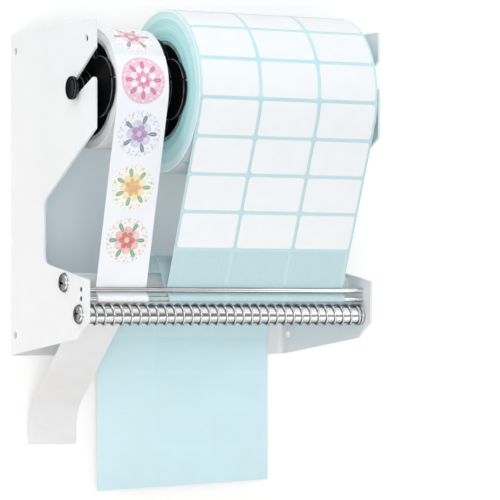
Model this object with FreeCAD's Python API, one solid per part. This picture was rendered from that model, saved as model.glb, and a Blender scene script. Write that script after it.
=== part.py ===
# Wall-mounted dispenser for a roll of round stickers and a roll of labels.
#
# A bent sheet frame carries a lift-out axle with both rolls. Each web runs from its roll down behind
# the upper peel rod, forward between the rods and back under the lower one, so that the labels lift
# off at the front. A loose coil spring on the bar below keeps the liner pressed to the lower rod.
#
# Places are given as x from the outer face of the left panel, depth from the wall and height from
# the bottom of the back plate. The origin is the middle of the back plate's rear face; the wall is
# the plane y = 0, the front is -Y and +Z is up. Lengths are in millimetres.
import FreeCAD, Part
import collections
import math
import os

# ---- frame: one bent sheet, open at the top, the bottom and the front ----
# Drops are measured down from the axle or from the top of the frame, leads and setbacks to the
# front and to the back from the spring bar.
WIDTH = 260.0
DEPTH = 166.0
HEIGHT = 267.0
SHEET = 2.0
BEND_RADIUS = 4.0
CORNER_RADIUS = 1.5
KEEL_SETBACK = 4.0
KEEL_HEIGHT = 15.0
CHIN_LEAD = 3.0
CHIN_HEIGHT = 21.0
CHIN_RADIUS = 5.0
NOSE_LEAD = 15.5
NOSE_BOTTOM = 28.0
NOSE_TOP = 61.5
NOTCH_DEPTH = 69.6
NOTCH_BOTTOM = 76.0
NOTCH_DROP = 88.0
NOTCH_RADIUS = 7.0
FINGER_DROP = 34.0
FINGER_TIP_RADIUS = 3.5
RAMP_ANGLE = 22.6
MOUTH_ANGLE = 32.1

# ---- screw holes for the wall and for neighbouring panels ----
WALL_HOLE_RADIUS = 2.75
WALL_HOLE_MARGIN = 40.0
WALL_HOLE_LOW = 70.0
WALL_HOLE_DROP = 27.0
SIDE_HOLE_RADIUS = 3.25
SIDE_HOLE_BACK = 13.0
SIDE_HOLE_INSET = 16.0
SIDE_HOLE_LOW = 17.0
SIDE_HOLE_DROP = 15.0

# ---- lift-out axle ----
AXLE_DEPTH = 130.0
AXLE_DROP = 53.0
SHAFT_RADIUS = 9.0
SHAFT_END_GAP = 1.0
NECK_RADIUS = 5.8
NECK_CLEARANCE = 0.3
KNOB_RADIUS = 9.5
KNOB_THICKNESS = 3.6
KNOB_EDGE = 1.2
KNOB_GAP = 1.4
STUB_RADIUS = 3.0
STUB_LENGTH = 2.4
FIT_CLEARANCE = 0.05

# ---- rolls and their cores ----
CORE_BORE_RADIUS = 38.1
CORE_WALL = 3.0
WINDING_CLEARANCE = 0.05
STICKER_X = 14.0
STICKER_ROLL_RADIUS = 48.0
ROLL_SPACING = 18.5
LABEL_ROLL_RADIUS = 66.0
RIGHT_END_SPACE = 20.0

# ---- hubs: a cup that fills the core's end, with a flange of three lobes ----
PLUG_CLEARANCE = 0.3
PLUG_WALL = 2.5
PLUG_FLOOR = 3.0
PLUG_DEPTH = 13.0
FLANGE_THICKNESS = 4.0
FLANGE_GAP = 0.3
FLANGE_EDGE = 1.0
LOBE_COUNT = 3
LOBE_OFFSET = 21.5
LOBE_RADIUS = 24.5
BOSS_RADIUS = 14.0
BOSS_LENGTH = 2.2
BOSS_DEPTH = 9.0
SLIT_WIDTH = 1.2
SLIT_LENGTH = 5.0

# ---- stickers and labels ----
LABEL_THICKNESS = 0.15
LAY_CLEARANCE = 0.05
STICKER_RADIUS = 19.05
STICKER_MARGIN = 3.2
STICKER_SPACING = 4.4
STICKER_WEB_LEAD = 38.6
WEB_STICKER_COUNT = 4
LABEL_HEIGHT = 29.0
LABEL_CORNER = 2.5
LABEL_MARGIN = 2.3
LABEL_COLUMN_COUNT = 3
LABEL_COLUMN_SPACING = 3.0
LABEL_ROW_SPACING = 2.5
LABEL_WEB_LEAD = 17.0
WEB_LABEL_ROW_COUNT = 4

# ---- bars and rods between the panels ----
GUIDE_SETBACK = 28.0
GUIDE_HEIGHT = 59.7
GUIDE_RADIUS = 8.0
GUIDE_WALL = 1.0
INSERT_LENGTH = 12.0
BAR_DEPTH = 138.0
BAR_HEIGHT = 34.3
BAR_RADIUS = 6.5
ROD_LEAD = 2.8
ROD_RADIUS = 2.0
ROD_SPACING = 7.3
ROD_RECESS = 0.3
SCREW_SHANK_RADIUS = 4.0
SCREW_SHANK_LENGTH = 12.0
SCREW_HEAD_RADIUS = 8.0
SCREW_HEAD_HEIGHT = 5.2
SCREW_HEAD_ROUND = 4.2
RECESS_SPAN = 8.6
RECESS_WIDTH = 2.0
RECESS_DEPTH = 3.0

# ---- coil spring on the bar ----
WIRE_RADIUS = 1.4
COIL_CLEARANCE = 0.2
COIL_PITCH = 8.0
COIL_END_GAP = 0.6

# ---- liners ----
PAPER = 0.3
PAPER_CLEARANCE = 0.4
PINCH_SPARE = 0.1
LOOP_RADIUS = 14.0
LOOP_FORWARD = 2.0
LOOP_RISE = 14.3
LABEL_WALL_GAP = 9.0
LABEL_BEND_RADIUS = 25.0
LABEL_BEND_HEIGHT = 13.0
LABEL_TAIL_DROP = 111.0
STICKER_SAG_RADIUS = 45.0
STICKER_SAG_SETBACK = 18.5
STICKER_SAG_DROP = 8.0
STICKER_WALL_GAP = 6.7
STICKER_BEND_RADIUS = 35.0
STICKER_BEND_DROP = 62.7
STICKER_TAIL_DROP = 74.0

# ---- sizes that follow from the ones above ----
STICKER_WEB_WIDTH = 2 * (STICKER_RADIUS + STICKER_MARGIN)
STICKER_PITCH = 2 * STICKER_RADIUS + STICKER_SPACING
LABEL_X = STICKER_X + STICKER_WEB_WIDTH + ROLL_SPACING
LABEL_WEB_WIDTH = WIDTH - LABEL_X - RIGHT_END_SPACE
LABEL_COLUMN_PITCH = (LABEL_WEB_WIDTH - 2 * LABEL_MARGIN + LABEL_COLUMN_SPACING) / LABEL_COLUMN_COUNT
LABEL_WIDTH = LABEL_COLUMN_PITCH - LABEL_COLUMN_SPACING
LABEL_PITCH = LABEL_HEIGHT + LABEL_ROW_SPACING
AXLE_HEIGHT = HEIGHT - AXLE_DROP
GUIDE_DEPTH = BAR_DEPTH - GUIDE_SETBACK
ROD_DEPTH = BAR_DEPTH + ROD_LEAD
NOSE_DEPTH = BAR_DEPTH + NOSE_LEAD
LEFT_INNER = SHEET
RIGHT_INNER = WIDTH - SHEET
INNER_WIDTH = WIDTH - 2 * SHEET
LEFT_PANEL = (0.0, -1)
RIGHT_PANEL = (WIDTH, 1)
POCKET_RADIUS = NECK_RADIUS + NECK_CLEARANCE
CORE_OUTER_RADIUS = CORE_BORE_RADIUS + CORE_WALL
COIL_MEAN_RADIUS = BAR_RADIUS + COIL_CLEARANCE + WIRE_RADIUS
COIL_OUTER_RADIUS = COIL_MEAN_RADIUS + WIRE_RADIUS
PINCH_GAP = PAPER + 2 * PAPER_CLEARANCE + PINCH_SPARE
LOWER_ROD_RISE = math.sqrt((COIL_OUTER_RADIUS + PINCH_GAP + ROD_RADIUS) ** 2 - ROD_LEAD**2)
LOWER_ROD_HEIGHT = BAR_HEIGHT + LOWER_ROD_RISE
UPPER_ROD_HEIGHT = LOWER_ROD_HEIGHT + ROD_SPACING
SCREW_HOLE_RADIUS = SCREW_SHANK_RADIUS + FIT_CLEARANCE

Circle = collections.namedtuple("Circle", "depth height radius turn")
Piece = collections.namedtuple("Piece", "depth height heading length curvature")


def point(x, depth, height):
    """The place in the model frame of a point given by x, depth and height."""
    return FreeCAD.Vector(x - WIDTH / 2, -depth, height - HEIGHT / 2)


def save(node, shape):
    """Write one node's solids to its own file."""
    shape.exportStep(os.path.join("parts", node + ".step"))


# ---- simple solids along X ----


def bar(x_start, x_end, depth, height, radius):
    """A round bar between two x places."""
    start = point(x_start, depth, height)
    return Part.makeCylinder(radius, x_end - x_start, start, FreeCAD.Vector(1, 0, 0))


def ring(x_start, x_end, depth, height, bore, radius):
    """A round bar with a bore."""
    outer = bar(x_start, x_end, depth, height, radius)
    return outer.cut(bar(x_start, x_end, depth, height, bore))


def stub(face, near, far, depth, height, radius):
    """A round bar from near to far outside a face, which is (its x, 1 if its outside is +X, else -1)."""
    x_face, outward = face
    places = sorted((x_face + outward * near, x_face + outward * far))
    return bar(places[0], places[1], depth, height, radius)


def rims(solid, x):
    """The round edges of a solid at an x place in the width."""
    plane = point(x, 0, 0).x
    return [edge for edge in solid.Edges if edge.Closed and abs(edge.CenterOfMass.x - plane) < 1e-6]


def rounded_wire(corners, place):
    """A closed outline from (a, b, radius) corners, with an arc at each corner that has a radius."""
    stops = []
    for number, (a, b, radius) in enumerate(corners):
        before = corners[number - 1]
        after = corners[(number + 1) % len(corners)]
        here = FreeCAD.Vector(a, b, 0)
        back = (FreeCAD.Vector(before[0], before[1], 0) - here).normalize()
        ahead = (FreeCAD.Vector(after[0], after[1], 0) - here).normalize()
        half = back.getAngle(ahead) / 2
        cut = radius / math.tan(half)
        middle = (back + ahead).normalize() * (radius / math.sin(half) - radius)
        stops.append([place(p.x, p.y) for p in (here + back * cut, here + middle, here + ahead * cut)])
    edges = []
    for number, (start, middle, end) in enumerate(stops):
        if corners[number][2] > 0:
            edges.append(Part.Arc(start, middle, end).toShape())
        following = stops[(number + 1) % len(stops)][0]
        edges.append(Part.LineSegment(end, following).toShape())
    return Part.Wire(edges)


# ---- routes of the sheets: pieces with a length and a curvature, left turns counted as positive ----


def route(circles, lead):
    """The pieces of a sheet's route round a chain of circles.

    The route starts on the first circle, a length lead before it leaves it, and ends at the centre of
    the last one, which has no radius. turn is 1 where the route goes round to the left, else -1.
    """
    headings = []
    for here, there in zip(circles, circles[1:]):
        run = math.hypot(there.depth - here.depth, there.height - here.height)
        bearing = math.atan2(there.height - here.height, there.depth - here.depth)
        offset = there.turn * there.radius - here.turn * here.radius
        headings.append(bearing - math.asin(offset / run))
    pieces = []
    arriving = headings[0] - circles[0].turn * lead / circles[0].radius
    for number, (here, there, leaving) in enumerate(zip(circles, circles[1:], headings)):
        sweep = math.remainder(leaving - arriving, 2 * math.pi)
        if number and sweep * here.turn < 0:
            sweep += here.turn * 2 * math.pi
        reach = here.turn * here.radius
        start = (here.depth + reach * math.sin(arriving), here.height - reach * math.cos(arriving))
        pieces.append(Piece(*start, arriving, abs(sweep) * here.radius, here.turn / here.radius))
        off = (here.depth + reach * math.sin(leaving), here.height - reach * math.cos(leaving))
        reach = there.turn * there.radius
        on = (there.depth + reach * math.sin(leaving), there.height - reach * math.cos(leaving))
        pieces.append(Piece(*off, leaving, math.hypot(on[0] - off[0], on[1] - off[1]), 0.0))
        arriving = leaving
    return pieces


def place_along(piece, distance, offset):
    """(depth, height, heading) at a distance along a piece, moved by offset to the left."""
    heading = piece.heading + piece.curvature * distance
    if not piece.curvature:
        depth = piece.depth + distance * math.cos(heading) - offset * math.sin(heading)
        return depth, piece.height + distance * math.sin(heading) + offset * math.cos(heading), heading
    radius = 1 / piece.curvature
    centre_depth = piece.depth - radius * math.sin(piece.heading)
    centre_height = piece.height + radius * math.cos(piece.heading)
    reach = radius - offset
    return centre_depth + reach * math.sin(heading), centre_height - reach * math.cos(heading), heading


def stretch(pieces, start, end):
    """The part of a route between two distances along it."""
    kept, passed = [], 0.0
    for piece in pieces:
        first = max(start - passed, 0.0)
        last = min(end - passed, piece.length)
        if last - first > 1e-6:
            depth, height, heading = place_along(piece, first, 0.0)
            kept.append(Piece(depth, height, heading, last - first, piece.curvature))
        passed += piece.length
    return kept


def length_of(pieces):
    """The length of a route."""
    return sum(piece.length for piece in pieces)


def edge_of(piece, offset, x):
    """One side of a piece as an edge."""
    ends = []
    for distance in (0.0, piece.length / 2, piece.length):
        depth, height, _ = place_along(piece, distance, offset)
        ends.append(point(x, depth, height))
    if piece.curvature:
        return Part.Arc(*ends).toShape()
    return Part.LineSegment(ends[0], ends[2]).toShape()


def sheet(pieces, low, high, x_start, width):
    """A sheet along a route, between two offsets to its left and as wide as given."""
    below = [edge_of(piece, low, x_start) for piece in pieces]
    above = [edge_of(piece, high, x_start) for piece in pieces]
    caps = [
        Part.LineSegment(below[-1].lastVertex().Point, above[-1].lastVertex().Point).toShape(),
        Part.LineSegment(above[0].firstVertex().Point, below[0].firstVertex().Point).toShape(),
    ]
    outline = Part.Wire(Part.__sortEdges__(below + above + caps))
    return Part.Face(outline).extrude(FreeCAD.Vector(width, 0, 0))


def label(pieces, low, x_start):
    """One label with rounded corners on a stretch of route."""
    blank = sheet(pieces, low, low + LABEL_THICKNESS, x_start, LABEL_WIDTH)
    corners = [edge for edge in blank.Edges if edge.Length < 2 * LABEL_THICKNESS]
    return blank.makeFillet(LABEL_CORNER, corners)


def sticker(pieces, low, x_centre):
    """One round sticker on a stretch of route."""
    blank = sheet(pieces, low, low + LABEL_THICKNESS, x_centre - STICKER_RADIUS, 2 * STICKER_RADIUS)
    left = length_of(pieces) / 2
    for piece in pieces:
        if left <= piece.length:
            break
        left -= piece.length
    depth, height, heading = place_along(piece, left, 0.0)
    outward = FreeCAD.Vector(0, math.sin(heading), math.cos(heading))
    start = point(x_centre, depth, height) - outward * STICKER_RADIUS
    return blank.common(Part.makeCylinder(STICKER_RADIUS, 2 * STICKER_RADIUS, start, outward))


# ---- frame ----


def side_outline():
    """The outline of a side panel, with the funnel of the axle notch."""
    ramp = math.radians(RAMP_ANGLE)
    mouth = math.radians(MOUTH_ANGLE)
    low_depth = AXLE_DEPTH + POCKET_RADIUS * math.sin(ramp)
    low_height = AXLE_HEIGHT - POCKET_RADIUS * math.cos(ramp)
    high_depth = AXLE_DEPTH - POCKET_RADIUS * math.sin(mouth)
    high_height = AXLE_HEIGHT + POCKET_RADIUS * math.cos(mouth)
    tip_height = low_height + (DEPTH - low_depth) * math.tan(ramp)
    brow_height = high_height + (DEPTH - high_depth) * math.tan(mouth)
    corners = [
        (0.0, 0.0, 0.0),
        (BAR_DEPTH - KEEL_SETBACK, KEEL_HEIGHT, CHIN_RADIUS),
        (BAR_DEPTH + CHIN_LEAD, CHIN_HEIGHT, CORNER_RADIUS),
        (NOSE_DEPTH, NOSE_BOTTOM, CORNER_RADIUS),
        (NOSE_DEPTH, NOSE_TOP, CORNER_RADIUS),
        (NOTCH_DEPTH, NOTCH_BOTTOM, NOTCH_RADIUS),
        (NOTCH_DEPTH, AXLE_HEIGHT - NOTCH_DROP, NOTCH_RADIUS),
        (DEPTH, AXLE_HEIGHT - FINGER_DROP, CORNER_RADIUS),
        (DEPTH, tip_height, FINGER_TIP_RADIUS),
        (low_depth, low_height, 0.0),
        (high_depth, high_height, 0.0),
        (DEPTH, brow_height, CORNER_RADIUS),
        (DEPTH, HEIGHT, CORNER_RADIUS),
        (0.0, HEIGHT, 0.0),
    ]
    return Part.Face(rounded_wire(corners, lambda depth, height: point(0, depth, height)))


def channel():
    """The bent sheet before its sides are cut to shape."""
    outer = BEND_RADIUS + SHEET
    front = max(DEPTH, NOSE_DEPTH)
    corners = [
        (0.0, front, 0.0),
        (0.0, 0.0, outer),
        (WIDTH, 0.0, outer),
        (WIDTH, front, 0.0),
        (RIGHT_INNER, front, 0.0),
        (RIGHT_INNER, SHEET, BEND_RADIUS),
        (LEFT_INNER, SHEET, BEND_RADIUS),
        (LEFT_INNER, front, 0.0),
    ]
    section = Part.Face(rounded_wire(corners, lambda x, depth: point(x, depth, 0)))
    return section.extrude(FreeCAD.Vector(0, 0, HEIGHT))


def frame():
    """The bent sheet frame with all its holes."""
    body = channel().common(side_outline().extrude(FreeCAD.Vector(WIDTH, 0, 0)))
    cuts = [bar(0, WIDTH, AXLE_DEPTH, AXLE_HEIGHT, POCKET_RADIUS)]
    for depth, height in (
        (SIDE_HOLE_BACK, SIDE_HOLE_LOW),
        (SIDE_HOLE_BACK, HEIGHT - SIDE_HOLE_DROP),
        (DEPTH - SIDE_HOLE_INSET, HEIGHT - SIDE_HOLE_DROP),
    ):
        cuts.append(bar(0, WIDTH, depth, height, SIDE_HOLE_RADIUS))
    for depth, height in ((GUIDE_DEPTH, GUIDE_HEIGHT), (BAR_DEPTH, BAR_HEIGHT)):
        cuts.append(bar(0, WIDTH, depth, height, SCREW_HOLE_RADIUS))
    for height in (LOWER_ROD_HEIGHT, UPPER_ROD_HEIGHT):
        cuts.append(bar(0, WIDTH, ROD_DEPTH, height, ROD_RADIUS + FIT_CLEARANCE))
    for x in (WALL_HOLE_MARGIN, WIDTH - WALL_HOLE_MARGIN):
        for height in (WALL_HOLE_LOW, HEIGHT - WALL_HOLE_DROP):
            start = point(x, SHEET, height)
            cuts.append(Part.makeCylinder(WALL_HOLE_RADIUS, SHEET, start, FreeCAD.Vector(0, 1, 0)))
    return body.cut(Part.makeCompound(cuts))


# ---- bars, rods and screws ----


def guide_tube():
    """The plain tube between the panels."""
    return ring(LEFT_INNER, RIGHT_INNER, GUIDE_DEPTH, GUIDE_HEIGHT, GUIDE_RADIUS - GUIDE_WALL, GUIDE_RADIUS)


def guide_tube_inserts():
    """Threaded inserts in both ends of the guide tube."""
    outer = GUIDE_RADIUS - GUIDE_WALL - FIT_CLEARANCE
    spans = [(LEFT_INNER, LEFT_INNER + INSERT_LENGTH), (RIGHT_INNER - INSERT_LENGTH, RIGHT_INNER)]
    return Part.makeCompound(
        [ring(*span, GUIDE_DEPTH, GUIDE_HEIGHT, SCREW_HOLE_RADIUS, outer) for span in spans]
    )


def spring_bar():
    """The solid bar that carries the spring, with a threaded bore in each end."""
    body = bar(LEFT_INNER, RIGHT_INNER, BAR_DEPTH, BAR_HEIGHT, BAR_RADIUS)
    bore = SCREW_SHANK_LENGTH
    for span in ((LEFT_INNER, LEFT_INNER + bore), (RIGHT_INNER - bore, RIGHT_INNER)):
        body = body.cut(bar(*span, BAR_DEPTH, BAR_HEIGHT, SCREW_HOLE_RADIUS))
    return body


def peel_rod(height):
    """A thin rod held in a small hole of each panel."""
    return bar(ROD_RECESS, WIDTH - ROD_RECESS, ROD_DEPTH, height, ROD_RADIUS)


def pan_head_screw(panel, depth, height):
    """A pan-head screw with a cross recess, its head seated on the outer face of a panel."""
    x_panel, outward = panel
    top = x_panel + outward * SCREW_HEAD_HEIGHT
    head = stub(panel, 0.0, SCREW_HEAD_HEIGHT, depth, height, SCREW_HEAD_RADIUS)
    head = head.makeFillet(SCREW_HEAD_ROUND, rims(head, top))
    body = head.fuse(stub(panel, -SCREW_SHANK_LENGTH, 0.0, depth, height, SCREW_SHANK_RADIUS))
    left = min(top, top - outward * RECESS_DEPTH)
    for wide, tall in ((RECESS_SPAN, RECESS_WIDTH), (RECESS_WIDTH, RECESS_SPAN)):
        corner = point(left, depth + wide / 2, height - tall / 2)
        body = body.cut(Part.makeBox(RECESS_DEPTH, wide, tall, corner))
    return body


def screw_pair(depth, height):
    """The screws at both ends of a bar."""
    return Part.makeCompound([pan_head_screw(panel, depth, height) for panel in (LEFT_PANEL, RIGHT_PANEL)])


def spring_coil():
    """The coil spring wound over the bar."""
    run = INNER_WIDTH - 2 * COIL_END_GAP - 2 * WIRE_RADIUS
    helix = Part.makeHelix(COIL_PITCH, run, COIL_MEAN_RADIUS)
    lead = COIL_PITCH / (2 * math.pi * COIL_MEAN_RADIUS)
    start = FreeCAD.Vector(COIL_MEAN_RADIUS, 0, 0)
    section = Part.Wire(Part.makeCircle(WIRE_RADIUS, start, FreeCAD.Vector(0, 1, lead)))
    coil = Part.Wire(helix).makePipeShell([section], True, True)
    coil.rotate(FreeCAD.Vector(0, 0, 0), FreeCAD.Vector(0, 1, 0), 90)
    coil.translate(point(LEFT_INNER + COIL_END_GAP + WIRE_RADIUS, BAR_DEPTH, BAR_HEIGHT))
    return coil


# ---- axle ----


def axle_shaft():
    """The shaft with a neck in each notch and a stub for each knob."""
    shaft_end = LEFT_INNER + SHAFT_END_GAP
    body = bar(shaft_end, WIDTH - shaft_end, AXLE_DEPTH, AXLE_HEIGHT, SHAFT_RADIUS)
    necks = bar(-KNOB_GAP, WIDTH + KNOB_GAP, AXLE_DEPTH, AXLE_HEIGHT, NECK_RADIUS)
    reach = KNOB_GAP + STUB_LENGTH
    stubs = bar(-reach, WIDTH + reach, AXLE_DEPTH, AXLE_HEIGHT, STUB_RADIUS)
    return body.fuse([necks, stubs]).removeSplitter()


def axle_knob(panel):
    """A disc on the end of the axle, outside the panel."""
    disc = stub(panel, KNOB_GAP, KNOB_GAP + KNOB_THICKNESS, AXLE_DEPTH, AXLE_HEIGHT, KNOB_RADIUS)
    disc = disc.makeFillet(KNOB_EDGE, [edge for edge in disc.Edges if edge.Closed])
    bore = STUB_RADIUS + FIT_CLEARANCE
    return disc.cut(stub(panel, KNOB_GAP, KNOB_GAP + STUB_LENGTH, AXLE_DEPTH, AXLE_HEIGHT, bore))


# ---- rolls ----


def core(x_start, width):
    """A cardboard core."""
    return ring(x_start, x_start + width, AXLE_DEPTH, AXLE_HEIGHT, CORE_BORE_RADIUS, CORE_OUTER_RADIUS)


def winding(x_start, width, radius):
    """The wound paper of a roll."""
    bore = CORE_OUTER_RADIUS + WINDING_CLEARANCE
    return ring(x_start, x_start + width, AXLE_DEPTH, AXLE_HEIGHT, bore, radius)


def flange_lobe(face, number):
    """One of the round lobes of a flange, with soft rims."""
    angle = 2 * math.pi * number / LOBE_COUNT
    depth = AXLE_DEPTH + LOBE_OFFSET * math.cos(angle)
    height = AXLE_HEIGHT + LOBE_OFFSET * math.sin(angle)
    lobe = stub(face, FLANGE_GAP, FLANGE_GAP + FLANGE_THICKNESS, depth, height, LOBE_RADIUS)
    return lobe.makeFillet(FLANGE_EDGE, [edge for edge in lobe.Edges if edge.Closed])


def hub(face):
    """A roll hub: cup, flange of three lobes and boss, on a bore for the shaft."""

    def round_part(near, far, radius):
        return stub(face, near, far, AXLE_DEPTH, AXLE_HEIGHT, radius)

    x_roll, outward = face
    flange_far = FLANGE_GAP + FLANGE_THICKNESS
    tip = flange_far + BOSS_LENGTH
    plug_radius = CORE_BORE_RADIUS - PLUG_CLEARANCE
    cup = round_part(-PLUG_DEPTH, 0.0, plug_radius)
    cup = cup.cut(round_part(-PLUG_DEPTH, -PLUG_FLOOR, plug_radius - PLUG_WALL))
    boss = round_part(-BOSS_DEPTH, tip, BOSS_RADIUS)
    neck = round_part(0.0, flange_far, LOBE_OFFSET)
    body = cup.fuse([boss, neck] + [flange_lobe(face, number) for number in range(LOBE_COUNT)])
    body = body.cut(round_part(-PLUG_DEPTH, tip, SHAFT_RADIUS + FIT_CLEARANCE))
    rim = AXLE_DEPTH + LOBE_OFFSET + LOBE_RADIUS
    slit_corner = point(min(x_roll, x_roll + outward * flange_far), rim, AXLE_HEIGHT - SLIT_WIDTH / 2)
    slit = Part.makeBox(flange_far, SLIT_LENGTH, SLIT_WIDTH, slit_corner)
    return body.cut(slit).removeSplitter()


# ---- webs, liners and what is on them ----


def web_circle(roll_radius):
    """The circle that a web follows on its roll, over the labels of the turn below."""
    radius = roll_radius + LAY_CLEARANCE + LABEL_THICKNESS + PAPER_CLEARANCE + PAPER / 2
    return Circle(AXLE_DEPTH, AXLE_HEIGHT, radius, -1)


def rod_circles():
    """The circles behind the upper peel rod and in front of the lower one."""
    radius = ROD_RADIUS + PAPER_CLEARANCE + PAPER / 2
    upper = Circle(ROD_DEPTH, UPPER_ROD_HEIGHT, radius, 1)
    lower = Circle(ROD_DEPTH, LOWER_ROD_HEIGHT, radius, -1)
    return [upper, lower]


def tail_circles(wall_gap, radius, bend_height, tail_height):
    """The bend above the wall side and the end of a liner's tail."""
    bend = Circle(wall_gap + radius, bend_height, radius, 1)
    end = Circle(wall_gap, tail_height, 0.0, 1)
    return [bend, end]


def sticker_route():
    """The whole route of the sticker strip: it drops under the guide tube to the wall."""
    coil = Circle(BAR_DEPTH, BAR_HEIGHT, COIL_OUTER_RADIUS + PAPER_CLEARANCE + PAPER / 2, 1)
    sag = Circle(BAR_DEPTH - STICKER_SAG_SETBACK, -STICKER_SAG_DROP, STICKER_SAG_RADIUS, 1)
    tail = tail_circles(STICKER_WALL_GAP, STICKER_BEND_RADIUS, -STICKER_BEND_DROP, -STICKER_TAIL_DROP)
    chain = [web_circle(STICKER_ROLL_RADIUS)] + rod_circles() + [coil, sag] + tail
    return route(chain, STICKER_WEB_LEAD)


def label_route():
    """The whole route of the label sheet: it loops loosely over the guide tube to the wall."""
    loop_height = GUIDE_HEIGHT + GUIDE_RADIUS + LOOP_RISE - LOOP_RADIUS
    loop = Circle(GUIDE_DEPTH + LOOP_FORWARD, loop_height, LOOP_RADIUS, 1)
    tail = tail_circles(LABEL_WALL_GAP, LABEL_BEND_RADIUS, LABEL_BEND_HEIGHT, -LABEL_TAIL_DROP)
    chain = [web_circle(LABEL_ROLL_RADIUS)] + rod_circles() + [loop] + tail
    return route(chain, LABEL_WEB_LEAD)


def turn_of_roll(radius, web):
    """The outer turn of a roll as a route, starting where its web starts."""
    start = web[0]
    depth = AXLE_DEPTH - radius * math.sin(start.heading)
    height = AXLE_HEIGHT + radius * math.cos(start.heading)
    return [Piece(depth, height, start.heading, 2 * math.pi * radius, -1 / radius)]


def spread(radius, pitch):
    """(how many labels go once round a roll, their real spacing)."""
    around = 2 * math.pi * radius
    count = int(around // pitch)
    return count, around / count


def stickers(pieces, count, spacing, low):
    """A row of stickers along a route."""
    centre_x = STICKER_X + STICKER_WEB_WIDTH / 2
    margin = spacing / 2 - STICKER_RADIUS
    starts = [number * spacing + margin for number in range(count)]
    spans = [stretch(pieces, start, start + 2 * STICKER_RADIUS) for start in starts]
    return Part.makeCompound([sticker(span, low, centre_x) for span in spans])


def labels(pieces, rows, spacing, low):
    """Rows of labels along a route."""
    first_x = LABEL_X + LABEL_MARGIN
    margin = (spacing - LABEL_HEIGHT) / 2
    made = []
    for row in range(rows):
        start = row * spacing + margin
        span = stretch(pieces, start, start + LABEL_HEIGHT)
        for column in range(LABEL_COLUMN_COUNT):
            made.append(label(span, low, first_x + column * LABEL_COLUMN_PITCH))
    return Part.makeCompound(made)


def web_and_liner(pieces, x_start, width):
    """(web from the roll to the upper peel rod, liner from there to the end of the tail)."""
    split = pieces[0].length + pieces[1].length
    sheets = []
    for start, end in ((0.0, split), (split, length_of(pieces))):
        sheets.append(sheet(stretch(pieces, start, end), -PAPER / 2, PAPER / 2, x_start, width))
    return sheets


def save_sheets(kind, pieces, x_start, width, laid, on_web, radius, pitch):
    """Write a roll's web and liner, and the labels or stickers on the roll and on the web."""
    web, liner = web_and_liner(pieces, x_start, width)
    save(kind + "_web", web)
    save(kind + "_liner", liner)
    count, spacing = spread(radius, pitch)
    save(kind + "s_on_web", laid(pieces, on_web, spacing, PAPER / 2 + LAY_CLEARANCE))
    save(kind + "s_on_roll", laid(turn_of_roll(radius, pieces), count, spacing, LAY_CLEARANCE))
    print(kind, "sheet length", round(length_of(pieces), 1), "width", width)


def save_roll(kind, x_start, width, radius):
    """Write a roll's core, its wound paper and its two hubs."""
    save(kind + "_core", core(x_start, width))
    save(kind + "_roll", winding(x_start, width, radius))
    save(kind + "_hub_left", hub((x_start, -1)))
    save(kind + "_hub_right", hub((x_start + width, 1)))


os.makedirs("parts", exist_ok=True)
save("frame", frame())
save("guide_tube", guide_tube())
save("guide_tube_inserts", guide_tube_inserts())
save("guide_tube_screws", screw_pair(GUIDE_DEPTH, GUIDE_HEIGHT))
save("spring_bar", spring_bar())
save("spring_bar_screws", screw_pair(BAR_DEPTH, BAR_HEIGHT))
save("spring_coil", spring_coil())
save("upper_peel_rod", peel_rod(UPPER_ROD_HEIGHT))
save("lower_peel_rod", peel_rod(LOWER_ROD_HEIGHT))
save("axle_shaft", axle_shaft())
save("left_axle_knob", axle_knob(LEFT_PANEL))
save("right_axle_knob", axle_knob(RIGHT_PANEL))
save_roll("sticker", STICKER_X, STICKER_WEB_WIDTH, STICKER_ROLL_RADIUS)
save_roll("label", LABEL_X, LABEL_WEB_WIDTH, LABEL_ROLL_RADIUS)
save_sheets(
    "sticker", sticker_route(), STICKER_X, STICKER_WEB_WIDTH,
    stickers, WEB_STICKER_COUNT, STICKER_ROLL_RADIUS, STICKER_PITCH,
)
save_sheets(
    "label", label_route(), LABEL_X, LABEL_WEB_WIDTH,
    labels, WEB_LABEL_ROW_COUNT, LABEL_ROLL_RADIUS, LABEL_PITCH,
)
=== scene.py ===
"""Looks of a wall-mounted dispenser for a roll of round stickers and a roll of labels.

Lengths are in metres. X runs along the width, -Y to the front and +Z up, and the wall is the plane
y = 0. The routes of the webs are given as depth from the wall (-y) and height (z). In the fields of
the classes a round is the width of a softened edge, and steps and sides are counts of faces.
"""

import logging
import math
import random
from dataclasses import dataclass, field
from enum import Enum
from typing import Callable, Sequence

import bpy
from mathutils import Matrix, Vector


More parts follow.
